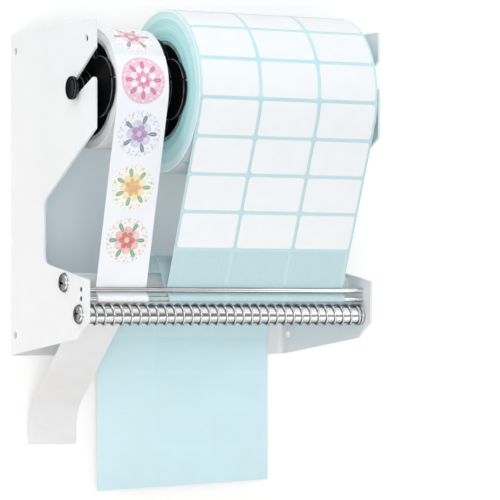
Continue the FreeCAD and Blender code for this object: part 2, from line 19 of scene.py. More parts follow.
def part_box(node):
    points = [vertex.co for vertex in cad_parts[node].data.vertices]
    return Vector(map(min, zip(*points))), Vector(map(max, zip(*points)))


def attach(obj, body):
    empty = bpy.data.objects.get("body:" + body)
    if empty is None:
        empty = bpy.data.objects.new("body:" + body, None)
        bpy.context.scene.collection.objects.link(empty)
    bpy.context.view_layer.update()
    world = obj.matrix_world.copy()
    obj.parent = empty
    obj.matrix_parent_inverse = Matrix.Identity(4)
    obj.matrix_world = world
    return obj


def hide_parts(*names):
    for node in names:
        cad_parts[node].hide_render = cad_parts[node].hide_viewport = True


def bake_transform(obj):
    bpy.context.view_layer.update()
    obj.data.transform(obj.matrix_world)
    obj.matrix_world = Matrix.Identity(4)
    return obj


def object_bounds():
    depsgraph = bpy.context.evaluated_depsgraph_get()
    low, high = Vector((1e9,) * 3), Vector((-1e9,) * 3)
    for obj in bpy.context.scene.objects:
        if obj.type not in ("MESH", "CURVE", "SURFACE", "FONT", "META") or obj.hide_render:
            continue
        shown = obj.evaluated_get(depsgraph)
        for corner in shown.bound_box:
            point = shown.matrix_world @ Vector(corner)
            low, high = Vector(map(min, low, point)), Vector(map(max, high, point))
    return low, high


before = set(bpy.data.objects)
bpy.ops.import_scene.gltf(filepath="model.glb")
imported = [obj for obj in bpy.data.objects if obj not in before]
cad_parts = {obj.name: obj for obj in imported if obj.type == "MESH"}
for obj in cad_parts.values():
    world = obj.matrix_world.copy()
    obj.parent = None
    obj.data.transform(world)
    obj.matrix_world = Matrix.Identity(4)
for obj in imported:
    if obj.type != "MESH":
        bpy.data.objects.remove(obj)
cad_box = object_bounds()

LOG = logging.getLogger("dispenser")
Colour = tuple[float, float, float]
Pair = tuple[float, float]
Socket = bpy.types.NodeSocket
Piece = bpy.types.Object
Bend = Callable[[float, float, float], Vector]

WHITE = (1.0, 1.0, 1.0)
MERGE_DISTANCE = 1e-6
SMOOTH_ANGLE = math.radians(35)
PAPER_SMOOTH_ANGLE = math.radians(60)
FULL_TURN = 2 * math.pi
QUARTER_TURN = math.pi / 2


# ---- modelling with the workbench ----


class Side(Enum):
    """The two ends of the width, with the direction along X that points out of the frame."""

    LEFT = -1
    RIGHT = 1


@dataclass(frozen=True)
class Span:
    """The box of a CAD node."""

    low: Vector
    high: Vector

    @classmethod
    def of(cls, node: str) -> "Span":
        """Reads the box of a node from the frame."""
        low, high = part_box(node)
        return cls(low, high)

    @property
    def centre(self) -> Vector:
        """The middle of the box."""
        return (self.low + self.high) / 2

    @property
    def width(self) -> float:
        """The size along X."""
        return self.high.x - self.low.x

    @property
    def radius(self) -> float:
        """Half the height, which is the radius of a round node along X."""
        return (self.high.z - self.low.z) / 2

    def outer(self, side: Side) -> float:
        """The x of the end that is on a side."""
        return self.low.x if side is Side.LEFT else self.high.x

    def inner(self, side: Side) -> float:
        """The x of the end that is away from a side."""
        return self.high.x if side is Side.LEFT else self.low.x


@dataclass(frozen=True)
class Ring:
    """A point of a turned outline: its place along the line and its radius about it."""

    x: float
    radius: float


class Workbench:
    """Mesh modelling by operators, one piece at a time."""

    def clear(self) -> None:
        """Deselects everything, in object mode."""
        if bpy.context.object and bpy.context.object.mode != "OBJECT":
            self.leave()
        bpy.ops.object.select_all(action="DESELECT")

    def pick(self, *pieces: Piece) -> None:
        """Selects pieces and makes the first one active.

        Args:
            pieces: the pieces to select.
        """
        self.clear()
        for piece in pieces:
            piece.select_set(True)
        bpy.context.view_layer.objects.active = pieces[0]

    def edit(self, piece: Piece, mode: str = "VERT") -> None:
        """Enters edit mode with all of a piece selected.

        Args:
            piece: the piece to edit.
            mode: what is selected: vertices, edges or faces.
        """
        self.pick(piece)
        bpy.ops.object.mode_set(mode="EDIT")
        bpy.ops.mesh.select_mode(type=mode)
        bpy.ops.mesh.select_all(action="SELECT")

    def leave(self) -> None:
        """Leaves edit mode."""
        bpy.ops.object.mode_set(mode="OBJECT")

    def settle(self, piece: Piece, name: str) -> Piece:
        """Names a piece and puts its place, turn and scale into its mesh.

        Args:
            piece: the piece.
            name: its name.

        Returns:
            The same piece, at the origin and unturned.
        """
        self.pick(piece)
        bpy.ops.object.transform_apply(location=True, rotation=True, scale=True)
        piece.name = name
        piece.data.name = name
        return piece

    def copy(self, model: Piece) -> Piece:
        """Copies a piece together with its mesh.

        Args:
            model: the piece to copy.

        Returns:
            The copy.
        """
        piece = model.copy()
        piece.data = model.data.copy()
        bpy.context.scene.collection.objects.link(piece)
        return piece

    def select_faces(self, piece: Piece, wanted: Callable[[bpy.types.MeshPolygon], bool]) -> None:
        """Selects the faces of a piece by a rule and enters edit mode with them.

        Args:
            piece: the piece to edit.
            wanted: tells whether a face is selected.
        """
        self.edit(piece, "FACE")
        bpy.ops.mesh.select_all(action="DESELECT")
        self.leave()
        for face in piece.data.polygons:
            face.select = wanted(face)
        bpy.ops.object.mode_set(mode="EDIT")

    def merge(self, distance: float = MERGE_DISTANCE) -> None:
        """Merges doubled vertices in edit mode and selects everything.

        Args:
            distance: how far apart doubled vertices are at most.
        """
        bpy.ops.mesh.select_all(action="SELECT")
        bpy.ops.mesh.remove_doubles(threshold=distance)
        bpy.ops.mesh.select_all(action="SELECT")

    def close(self) -> None:
        """Merges doubled vertices, points the faces outwards and leaves edit mode."""
        self.merge()
        self.face_out()

    def face_out(self) -> None:
        """Points the selected faces outwards and leaves edit mode."""
        bpy.ops.mesh.normals_make_consistent(inside=False)
        self.leave()

    def turned(self, outline: Sequence[Ring], axis: Vector, steps: int) -> Piece:
        """Spins a closed or axis-to-axis outline about a line along X.

        Args:
            outline: the rings of the outline, in order; a last ring equal to the first closes it.
            axis: a point on the line.
            steps: how many steps the full turn has.

        Returns:
            The turned piece.
        """
        self.clear()
        first = outline[0]
        start = (first.x, axis.y, axis.z + first.radius)
        bpy.ops.mesh.primitive_plane_add(size=0.001, location=start)
        piece = bpy.context.object
        self.edit(piece)
        bpy.ops.mesh.merge(type="CENTER")
        for here, there in zip(outline, outline[1:]):
            step = (there.x - here.x, 0.0, there.radius - here.radius)
            bpy.ops.mesh.extrude_vertices_move(TRANSFORM_OT_translate={"value": step})
        self.merge()
        bpy.ops.mesh.spin(steps=steps, angle=FULL_TURN, center=tuple(axis), axis=(1.0, 0.0, 0.0))
        self.close()
        return piece

    def turn_out(self, piece: Piece, side: Side, x: float, name: str) -> None:
        """Turns a piece that looks to -X towards a side and finishes its shape.

        Args:
            piece: the piece.
            side: the side that it looks to.
            x: the place of its own x = 0.
            name: its name.
        """
        piece.scale = (-side.value, 1.0, 1.0)
        piece.location.x += x
        self.settle(piece, name)
        self.edit(piece)
        self.close()
        self.shade(piece)

    def apply(self, piece: Piece, kind: str, **settings: object) -> None:
        """Adds a modifier and applies it.

        Args:
            piece: the piece to change.
            kind: the modifier's type.
            settings: the modifier's settings.
        """
        self.pick(piece)
        modifier = piece.modifiers.new(kind.title(), kind)
        for name, value in settings.items():
            setattr(modifier, name, value)
        bpy.ops.object.modifier_apply(modifier=modifier.name)

    def soften(self, piece: Piece, width: float, segments: int = 2, angle: float = 40.0) -> None:
        """Rounds the sharp edges of a piece and shades it smooth.

        Args:
            piece: the piece to finish.
            width: the width of the rounding.
            segments: how many faces the rounding has.
            angle: the smallest angle of an edge that is rounded, in degrees.
        """
        self.apply(
            piece, "BEVEL", width=width, segments=segments, limit_method="ANGLE",
            angle_limit=math.radians(angle), use_clamp_overlap=True,
        )
        self.shade(piece)
        self.apply(piece, "WEIGHTED_NORMAL", keep_sharp=True, weight=100)

    def shade(self, piece: Piece, angle: float = SMOOTH_ANGLE) -> None:
        """Shades a piece smooth where its faces meet at less than an angle."""
        self.pick(piece)
        bpy.ops.object.shade_smooth_by_angle(angle=angle)

    def cut(self, piece: Piece, cutter: Piece) -> None:
        """Takes a cutter out of a piece and deletes the cutter."""
        self.apply(piece, "BOOLEAN", operation="DIFFERENCE", object=cutter, solver="EXACT")
        bpy.data.objects.remove(cutter)

    def copy_of_node(self, node: str) -> Piece:
        """Makes a merged copy of a CAD node's mesh, with flat faces joined.

        Args:
            node: the node's name.

        Returns:
            The copy, which rides on nothing yet.
        """
        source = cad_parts[node]
        piece = bpy.data.objects.new(node + "_copy", source.data.copy())
        bpy.context.scene.collection.objects.link(piece)
        self.pick(piece)
        bpy.ops.mesh.customdata_custom_splitnormals_clear()
        self.edit(piece)
        self.merge()
        bpy.ops.mesh.dissolve_limited(angle_limit=math.radians(0.5))
        self.leave()
        return piece

    def join(self, pieces: Sequence[Piece]) -> Piece:
        """Joins pieces into the first one.

        Args:
            pieces: the pieces to join.

        Returns:
            The joined piece.
        """
        self.pick(*pieces)
        if len(pieces) > 1:
            bpy.ops.object.join()
        return pieces[0]


BENCH = Workbench()


def dress(piece: Piece, finish: "Finish") -> Piece:
    """Gives a piece one finish all over.

    Args:
        piece: a new piece or a CAD node.
        finish: the finish.

    Returns:
        The same piece.
    """
    if not piece.material_slots:
        piece.data.materials.append(None)
    for slot in piece.material_slots:
        slot.material = finish.material()
    return piece


def mount(piece: Piece, body: str, slot: str, *nodes: str) -> Piece:
    """Makes a rigid piece ride on a body in place of CAD nodes.

    Args:
        piece: the finished piece.
        body: the body that it moves with.
        slot: the name of a material slot; not used.
        nodes: the CAD nodes that it stands for.

    Returns:
        The same piece.
    """
    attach(piece, body)
    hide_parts(*nodes)
    LOG.info("%s: %d faces, rides on %s", piece.name, len(piece.data.polygons), body)
    return piece


# ---- shader trees ----


class Tree:
    """A short way to write a node tree."""

    def __init__(self, tree: bpy.types.NodeTree) -> None:
        """Takes the node tree to write in."""
        self.tree = tree

    def feed(self, target: Socket, value: object) -> None:
        """Links a socket or sets its value.

        Args:
            target: the input.
            value: an output to link, or a plain value.
        """
        if isinstance(value, bpy.types.NodeSocket):
            self.tree.links.new(value, target)
        elif target.type == "RGBA" and len(value) == 3:
            target.default_value = (*value, 1.0)
        else:
            target.default_value = value

    def node(self, kind: str, inputs: dict | None = None, **settings: object) -> bpy.types.Node:
        """Adds a node.

        Args:
            kind: the node's type without its ShaderNode prefix.
            inputs: what its inputs get, by name or number.
            settings: its own settings.

        Returns:
            The node.
        """
        made = self.tree.nodes.new("ShaderNode" + kind)
        for name, value in settings.items():
            setattr(made, name, value)
        for key, value in (inputs or {}).items():
            self.feed(made.inputs[key], value)
        return made

    def number(self, operation: str, *values: object) -> Socket:
        """Works out a number from up to three."""
        return self.node("Math", dict(enumerate(values)), operation=operation).outputs[0]

    def times(self, first: object, second: object) -> Socket:
        """Multiplies two numbers."""
        return self.number("MULTIPLY", first, second)

    def minus(self, first: object, second: object) -> Socket:
        """Takes the second number from the first."""
        return self.number("SUBTRACT", first, second)

    def span(self, first: object, second: object) -> Socket:
        """The square root of the sum of two squares."""
        squares = [self.number("POWER", value, 2.0) for value in (first, second)]
        return self.number("SQRT", self.number("ADD", *squares))

    def vector(self, operation: str, *values: object) -> bpy.types.Node:
        """Works out a vector, or a length or product, from up to two."""
        return self.node("VectorMath", dict(enumerate(values)), operation=operation)

    def split(self, vector: Socket) -> tuple[Socket, Socket, Socket]:
        """Takes a vector apart."""
        made = self.node("SeparateXYZ", {0: vector})
        return made.outputs[0], made.outputs[1], made.outputs[2]

    def blend(self, share: object, low: object, high: object) -> Socket:
        """Mixes two colours by a share of the second."""
        return self.node("Mix", {0: share, 6: low, 7: high}, data_type="RGBA").outputs[2]

    def between(
        self, value: Socket, low: float, high: float, start: object = 0.0, end: object = 1.0
    ) -> Socket:
        """Turns values from low to high into values from start to end, held at both ends."""
        return self.node("MapRange", {0: value, 1: low, 2: high, 3: start, 4: end}).outputs[0]

    def noise(self, place: Socket, scale: object, detail: float = 3.0) -> Socket:
        """A noise value of about 0.3 to 0.7."""
        return self.node("TexNoise", {"Vector": place, "Scale": scale, "Detail": detail}).outputs[0]

    def place(self) -> Socket:
        """The place on the piece, in the frame's own metres."""
        return self.node("TexCoord").outputs["Object"]

    def normal(self) -> Socket:
        """The direction that the surface faces."""
        return self.node("NewGeometry").outputs["Normal"]

    def bump(self, height: Socket, distance: float) -> Socket:
        """A normal from a height in metres times distance."""
        return self.node("Bump", {"Height": height, "Distance": distance, "Strength": 1.0}).outputs[0]

    def principled(self, **inputs: object) -> Socket:
        """A Principled shader from its inputs by name, with underscores for spaces."""
        named = {name.replace("_", " "): value for name, value in inputs.items()}
        return self.node("BsdfPrincipled", named).outputs[0]


@dataclass(frozen=True)
class Effect:
    """A shader node group that several finishes use, built once.

    Attributes:
        name: the group's name.
        inputs: its inputs by name, each with a socket type and a first value.
        outputs: its outputs by name, each with a socket type.
        draw: writes the group from its input sockets and returns its output sockets.
    """

    name: str
    inputs: dict[str, tuple[str, object]]
    outputs: dict[str, str]
    draw: Callable[[Tree, dict[str, Socket]], dict[str, Socket]]

    def tree(self) -> bpy.types.NodeTree:
        """Writes the group at the first call.

        Returns:
            The group's tree.
        """
        known = bpy.data.node_groups.get(self.name)
        if known:
            return known
        made = bpy.data.node_groups.new(self.name, "ShaderNodeTree")
        for name, (kind, value) in self.inputs.items():
            socket = made.interface.new_socket(name, in_out="INPUT", socket_type="NodeSocket" + kind)
            if value is not None:
                socket.default_value = value
        for name, kind in self.outputs.items():
            made.interface.new_socket(name, in_out="OUTPUT", socket_type="NodeSocket" + kind)
        start = made.nodes.new("NodeGroupInput")
        end = made.nodes.new("NodeGroupOutput")
        given = {name: start.outputs[name] for name in self.inputs}
        for name, socket in self.draw(Tree(made), given).items():
            made.links.new(socket, end.inputs[name])
        return made

    def use(self, tree: Tree, **values: object) -> bpy.types.Node:
        """Places the group in a material.

        Args:
            tree: the material's tree.
            values: what the inputs get, by name.

        Returns:
            The group node.
        """
        made = tree.node("Group")
        made.node_tree = self.tree()
        for name, value in values.items():
            tree.feed(made.inputs[name], value)
        return made


def draw_grain(tree: Tree, given: dict[str, Socket]) -> dict[str, Socket]:
    """Noise stretched by a vector."""
    stretched = tree.vector("MULTIPLY", given["Place"], given["Stretch"]).outputs[0]
    return {"Value": tree.between(tree.noise(stretched, 1.0, 4.0), 0.3, 0.7)}


def draw_layers(tree: Tree, given: dict[str, Socket]) -> dict[str, Socket]:
    """Rings of wound paper about a line along X.

    Args:
        tree: the group's tree.
        given: its inputs.

    Returns:
        A slow tone, fine edges, a mask of the sides and the radius.
    """
    away = tree.vector("SUBTRACT", given["Place"], given["Axis"]).outputs[0]
    flat = tree.vector("MULTIPLY", away, (0.0, 1.0, 1.0)).outputs[0]
    radius = tree.vector("LENGTH", flat).outputs["Value"]
    wander = tree.noise(tree.vector("MULTIPLY", flat, (0.0, 14.0, 14.0)).outputs[0], 1.0, 1.0)
    bent = tree.number("MULTIPLY_ADD", wander, given["Wander"], radius)
    slow, fine = (
        tree.noise(tree.node("CombineXYZ", {0: tree.times(bent, given[rate])}).outputs[0], 1.0, 2.0)
        for rate in ("Coarse", "Fine")
    )
    side = tree.number("ABSOLUTE", tree.split(given["Normal"])[0])
    return {
        "Tone": tree.between(slow, 0.43, 0.57), "Edges": tree.between(fine, 0.42, 0.6),
        "Side": tree.between(side, 0.5, 0.8), "Radius": radius,
    }


def draw_die_marks(tree: Tree, given: dict[str, Socket]) -> dict[str, Socket]:
    """Faint outlines that a die leaves in a liner.

    Args:
        tree: the group's tree.
        given: its inputs, with flat places in metres.

    Returns:
        A mask of the gaps between labels and a mask of their outlines.
    """
    across, along, _ = tree.split(given["Flat"])
    offs, masks = [], []
    for place, pitch, size in ((across, "Column pitch", "Width"), (along, "Row pitch", "Height")):
        cell = tree.number("WRAP", place, given[pitch], 0.0)
        off = tree.minus(cell, tree.times(given[pitch], 0.5))
        offs.append(off)
        masks.append(tree.minus(tree.number("ABSOLUTE", off), tree.times(given[size], 0.5)))
    square = tree.number("MAXIMUM", *masks)
    away = tree.vector("LENGTH", tree.node("CombineXYZ", dict(enumerate(offs))).outputs[0])
    disc = tree.minus(away.outputs["Value"], tree.times(given["Width"], 0.5))
    outside = tree.node("Mix", {0: given["Round"], 2: square, 3: disc}).outputs[0]
    line = tree.number("ABSOLUTE", outside)
    return {"Gap": tree.between(outside, -0.0003, 0.0003), "Line": tree.between(line, 0.0, 0.0004, 1.0, 0.0)}


def draw_dust(tree: Tree, given: dict[str, Socket]) -> dict[str, Socket]:
    """Fine dust that lies on what faces up.

    Args:
        tree: the group's tree.
        given: its inputs.

    Returns:
        The mask of the dust.
    """
    facing = tree.between(tree.split(given["Normal"])[2], 0.35, 1.0)
    specks = tree.between(tree.noise(given["Place"], 900.0, 2.0), 0.56, 0.72)
    drift = tree.between(tree.noise(given["Place"], 45.0, 2.0), 0.35, 0.7, 0.2, 1.0)
    return {"Mask": tree.times(tree.times(facing, specks), drift)}


@dataclass(frozen=True)
class Rosette:
    """Soft-edged shapes in rings about the middle of the unit disc.

    Attributes:
        tree: the group's tree.
        radius: the distance from the middle, 1 at the rim.
        angle: the angle about the middle.
        soft: half the width of a shape's soft edge.
    """

    tree: Tree
    radius: Socket
    angle: Socket
    soft: float = 0.022

    def inside(self, limit: object, value: object) -> Socket:
        """A mask of where a value is under its limit."""
        return self.tree.between(self.tree.minus(limit, value), -self.soft, self.soft)

    def petals(self, count: Socket, shift: float, reach: float, depth: float) -> Socket:
        """A mask of joined petals.

        Args:
            count: how many petals.
            shift: how far they are turned.
            reach: how far out they go.
            depth: how deep the notches between them are.

        Returns:
            The mask.
        """
        turned = self.tree.number("MULTIPLY_ADD", self.angle, self.tree.times(count, 0.5), shift)
        lobe = self.tree.number("ABSOLUTE", self.tree.number("COSINE", turned))
        power = self.tree.number("POWER", lobe, 0.6)
        edge = self.tree.number("MULTIPLY_ADD", power, depth, reach - depth)
        return self.inside(edge, self.radius)

    def drops(self, count: float, at: float, size: float, shift: float) -> tuple[Socket, Socket]:
        """A ring of round drops.

        Args:
            count: how many drops.
            at: the radius of the ring.
            size: the radius of a drop.
            shift: how far the ring is turned, in drops.

        Returns:
            Their mask, and 0 and 1 in turn from drop to drop.
        """
        turn = self.tree.number("MULTIPLY_ADD", self.angle, count / FULL_TURN, shift)
        cell = self.tree.minus(self.tree.number("FRACT", turn), 0.5)
        along = self.tree.times(cell, FULL_TURN / count * at)
        away = self.tree.span(along, self.tree.minus(self.radius, at))
        floor = self.tree.number("FLOOR", self.tree.number("ADD", turn, 64.0))
        return self.inside(size, away), self.tree.number("MODULO", floor, 2.0)

    def leaves(self, count: Socket, at: float, size: float, slim: float) -> Socket:
        """A mask of slender leaves that point outwards.

        Args:
            count: how many leaves.
            at: the radius of their middles.
            size: half the length of a leaf.
            slim: how many times longer than wide it is.

        Returns:
            The mask.
        """
        share = self.tree.times(count, 1 / FULL_TURN)
        turn = self.tree.number("MULTIPLY_ADD", self.angle, share, 0.5)
        cell = self.tree.minus(self.tree.number("FRACT", turn), 0.5)
        along = self.tree.times(self.tree.number("DIVIDE", cell, share), at * slim)
        return self.inside(size, self.tree.span(along, self.tree.minus(self.radius, at)))


def draw_motif(tree: Tree, given: dict[str, Socket]) -> dict[str, Socket]:
    """A round print of a two-layer star flower on a ground with scattered drops.

    Args:
        tree: the group's tree.
        given: its inputs: a place on the disc, the number of petals and the colours.

    Returns:
        The print's colour.
    """
    disc = tree.vector("MULTIPLY_ADD", given["Disc"], (2.0, 2.0, 0.0), (-1.0, -1.0, 0.0)).outputs[0]
    x, y, _ = tree.split(disc)
    radius = tree.vector("LENGTH", disc).outputs["Value"]
    angle = tree.number("ARCTAN2", y, x)
    rosette = Rosette(tree, radius, angle)
    wash = tree.noise(disc, 3.2, 3.0)
    light = tree.blend(tree.between(wash, 0.35, 0.7, 0.0, 0.5), given["First"], WHITE)
    colour = tree.blend(tree.between(wash, 0.45, 0.75, 0.0, 0.16), given["Ground"], given["First"])
    leaf = rosette.leaves(given["Petals"], 0.60, 0.22, 2.6)
    fold = rosette.leaves(given["Petals"], 0.60, 0.17, 14.0)
    colour = tree.blend(leaf, colour, given["Fourth"])
    colour = tree.blend(tree.times(fold, 0.5), colour, given["Ground"])
    outer = rosette.petals(given["Petals"], QUARTER_TURN, 0.60, 0.26)
    colour = tree.blend(outer, colour, light)
    vein = tree.number("ABSOLUTE", tree.number("COSINE", tree.times(angle, given["Petals"])))
    vein = tree.times(tree.between(vein, 0.0, 0.25, 0.45, 0.0), outer)
    colour = tree.blend(vein, colour, given["Second"])
    inner = rosette.petals(given["Petals"], 0.0, 0.38, 0.14)
    deep = tree.blend(tree.between(wash, 0.35, 0.65, 0.0, 0.5), given["Second"], given["First"])
    colour = tree.blend(inner, colour, deep)
    colour = tree.blend(tree.between(radius, 0.10, 0.13, 1.0, 0.0), colour, given["Third"])
    large, small = ("First", "Third"), ("Second", "Fourth")
    rings = (
        (14.0, 0.86, 0.05, 0.0, large), (28.0, 0.93, 0.018, 0.25, small),
        (21.0, 0.76, 0.022, 0.5, small), (9.0, 0.19, 0.024, 0.0, small),
    )
    for count, at, size, shift, colours in rings:
        shown, which = rosette.drops(count, at, size, shift)
        pair = tree.blend(which, *(given[name] for name in colours))
        colour = tree.blend(tree.times(shown, 0.9), colour, pair)
    return {"Colour": colour}


PLACE = ("Vector", None)
COLOUR = ("Color", None)
GRAIN = Effect("grain", {"Place": PLACE, "Stretch": PLACE}, {"Value": "Float"}, draw_grain)
LAYERS = Effect(
    "wound_layers",
    {
        "Place": PLACE, "Normal": PLACE, "Axis": PLACE,
        "Coarse": ("Float", 300.0), "Fine": ("Float", 2500.0), "Wander": ("Float", 0.002),
    },
    {"Tone": "Float", "Edges": "Float", "Side": "Float", "Radius": "Float"},
    draw_layers,
)
DIE_MARKS = Effect(
    "die_marks",
    {
        "Flat": PLACE, "Column pitch": ("Float", 0.05), "Row pitch": ("Float", 0.03),
        "Width": ("Float", 0.045), "Height": ("Float", 0.028), "Round": ("Float", 0.0),
    },
    {"Gap": "Float", "Line": "Float"},
    draw_die_marks,
)
DUST = Effect("dust", {"Place": PLACE, "Normal": PLACE}, {"Mask": "Float"}, draw_dust)
MOTIF = Effect(
    "star_flower",
    {
        "Disc": PLACE, "Petals": ("Float", 8.0), "Ground": COLOUR, "First": COLOUR,
        "Second": COLOUR, "Third": COLOUR, "Fourth": COLOUR,
    },
    {"Colour": "Color"},
    draw_motif,
)


def grain(tree: Tree, place: Socket, along: float, round_about: float | None = None) -> Socket:
    """Places the grain group.

    Args:
        tree: the material's tree.
        place: the place on the piece.
        along: its frequency along X, per metre.
        round_about: its frequency across X, the same as along X if left out.

    Returns:
        Its value, from 0 to 1.
    """
    across = along if round_about is None else round_about
    return GRAIN.use(tree, Place=place, Stretch=(along, across, across)).outputs[0]


# ---- finishes ----


SURFACES: dict[str, bpy.types.Material] = {}
# Painted shade: a dark tint of the metals' reflections at grazing angles, which darkens their edges.
METAL_GRAZING_SHADE = (0.1, 0.1, 0.1)


def blank(owner: bpy.types.ID) -> Tree:
    """Empties the node tree of a material or a world.

    Args:
        owner: the material or world.

    Returns:
        Its tree.
    """
    owner.use_nodes = True
    owner.node_tree.nodes.clear()
    return Tree(owner.node_tree)


def toned(colour: Colour, share: float) -> Colour:
    """A colour times a share, held at 1."""
    return tuple(min(1.0, share * part) for part in colour)


@dataclass(frozen=True)
class Finish:
    """A surface finish, made into a material at its first use.

    Attributes:
        name: the material's name.
    """

    name: str

    def material(self) -> bpy.types.Material:
        """Builds the material at the first call.

        Returns:
            The material.
        """
        if self.name in SURFACES:
            return SURFACES[self.name]
        made = SURFACES[self.name] = bpy.data.materials.new(self.name)
        tree = blank(made)
        tree.node("OutputMaterial", {"Surface": self.surface(tree)})
        return made

    def surface(self, tree: Tree) -> Socket:
        """Writes the surface. Each finish has its own.

        Args:
            tree: the material's tree.

        Returns:
            The shader's output.
        """
        raise NotImplementedError


@dataclass(frozen=True)
class PowderCoat(Finish):
    """White powder coat with a fine orange-peel surface, with painted shade and painted light on its inner
    faces.

    Attributes:
        shaded: its colour of painted shade inside the frame on the left and low on both flanks.
        lit: its colour of painted light inside the frame on the right.
        turned: how far inwards a face looks where the inner colours are full and where they end.
        front: the places in depth where the inner colours end and where they are full.
        foot: the heights where the inner colours end and where they are full.
        low: the heights between which the flanks turn from shaded to lit.
        middle: the places across between which the shaded colour turns into the lit one.
    """

    colour: Colour = (0.865, 0.86, 0.855)
    shaded: Colour = (0.77, 0.84, 0.875)
    lit: Colour = (0.945, 0.975, 0.99)
    dusty: Colour = (0.55, 0.54, 0.52)
    turned: Pair = (-0.9, -0.6)
    front: Pair = (-0.150, -0.135)
    foot: Pair = (-0.13, -0.085)
    low: Pair = (-0.10, 0.05)
    middle: Pair = (-0.12, -0.02)

    def surface(self, tree: Tree) -> Socket:
        """Writes paint with a slight cloud in its colour and gloss, and painted shade and painted light
        inside the frame.

        Args:
            tree: the material's tree.

        Returns:
            The shader's output.
        """
        place, normal = tree.place(), tree.normal()
        peel = grain(tree, place, 900.0)
        colour = tree.blend(grain(tree, place, 22.0), toned(self.colour, 0.965), self.colour)
        dust = DUST.use(tree, Place=place, Normal=normal).outputs[0]
        colour = tree.blend(tree.times(dust, 0.10), colour, self.dusty)
        # Painted shade and painted light: inner faces take a cooler shaded colour on the left and low on the
        # flanks, and a paler lit colour on the right.
        across, depth, height = tree.split(place)
        aside, forward, _ = tree.split(normal)
        inwards = tree.times(aside, tree.number("SIGN", across))
        flank, back = (tree.between(way, *self.turned, 1.0, 0.0) for way in (inwards, forward))
        inside = tree.times(tree.number("MAXIMUM", flank, back), tree.between(depth, *self.front))
        inside = tree.times(inside, tree.between(height, *self.foot))
        low = tree.times(flank, tree.between(height, *self.low, 1.0, 0.0))
        lit = tree.minus(tree.between(across, *self.middle), low)
        colour = tree.blend(inside, colour, tree.blend(lit, self.shaded, self.lit))
        relief = tree.number("MULTIPLY_ADD", grain(tree, place, 4200.0), 0.15, peel)
        return tree.principled(
            Base_Color=colour, Roughness=tree.between(peel, 0.0, 1.0, 0.34, 0.46),
            Normal=tree.bump(relief, 0.00002), Specular_IOR_Level=0.42,
        )


@dataclass(frozen=True)
class DrawnSteel(Finish):
    """Bright steel with lines drawn along X, and painted shade on its underside.

    Attributes:
        shine: its lowest roughness.
        ends: how far its ends are darkened, up to 1.
        lines: how strong its streaks are.
        underside_shade: how far its underside takes the under colour, a painted shade, up to 1.
    """

    colour: Colour
    shine: float = 0.08
    ends: float = 1.0
    lines: float = 0.5
    underside_shade: float = 0.6
    metal: float = 1.0
    under: Colour = (0.12, 0.12, 0.125)
    end: Colour = (0.09, 0.09, 0.095)

    def surface(self, tree: Tree) -> Socket:
        """Writes polished metal with fine lines, a few duller streaks and painted shade underneath.

        Args:
            tree: the material's tree.

        Returns:
            The shader's output.
        """
        place = tree.place()
        streaks = tree.between(grain(tree, place, 5.0, 620.0), 0.35, 0.75, 0.0, self.lines)
        smear = tree.between(grain(tree, place, 70.0), 0.0, 1.0, 0.6, 1.0)
        both = tree.times(streaks, smear)
        along, _, upward = tree.split(tree.normal())
        end = tree.between(tree.number("ABSOLUTE", along), 0.75, 0.95, 0.0, self.ends)
        # Painted shade: faces that look down are darkened towards the dark under colour.
        under = tree.between(upward, -0.92, -0.6, self.underside_shade, 0.0)
        colour = tree.blend(under, tree.blend(both, self.colour, toned(self.colour, 0.35)), self.under)
        rough = tree.between(both, 0.0, 0.8, self.shine, self.shine + 0.08)
        return tree.principled(
            Base_Color=tree.blend(end, colour, self.end), Metallic=self.metal,
            Roughness=tree.number("MULTIPLY_ADD", end, 0.3, rough),
            Normal=tree.bump(grain(tree, place, 12.0, 5200.0), 0.000004), Specular_Tint=METAL_GRAZING_SHADE,
        )


@dataclass(frozen=True)
class PolishedHead(Finish):
    """Nickel-plated screw steel, polished, with a painted highlight where it faces forwards.

    Attributes:
        front: its colour where it faces forwards, a painted highlight.
    """

    colour: Colour = (0.34, 0.34, 0.34)
    front: Colour = (0.80, 0.80, 0.80)

    def surface(self, tree: Tree) -> Socket:
        """Writes bright plate with small pits and a painted highlight on its forward side.

        Args:
            tree: the material's tree.

        Returns:
            The shader's output.
        """
        place = tree.place()
        haze = grain(tree, place, 260.0)
        # Painted highlight: faces that look forwards take the bright front colour.
        forward = tree.between(tree.split(tree.normal())[1], -0.85, -0.5, 1.0, 0.0)
        plate = tree.blend(haze, self.colour, toned(self.colour, 0.7))
        return tree.principled(
            Base_Color=tree.blend(forward, plate, self.front), Metallic=1.0,
            Roughness=tree.between(haze, 0.0, 1.0, 0.08, 0.16),
            Normal=tree.bump(grain(tree, place, 1800.0), 0.000006), Specular_Tint=METAL_GRAZING_SHADE,
        )


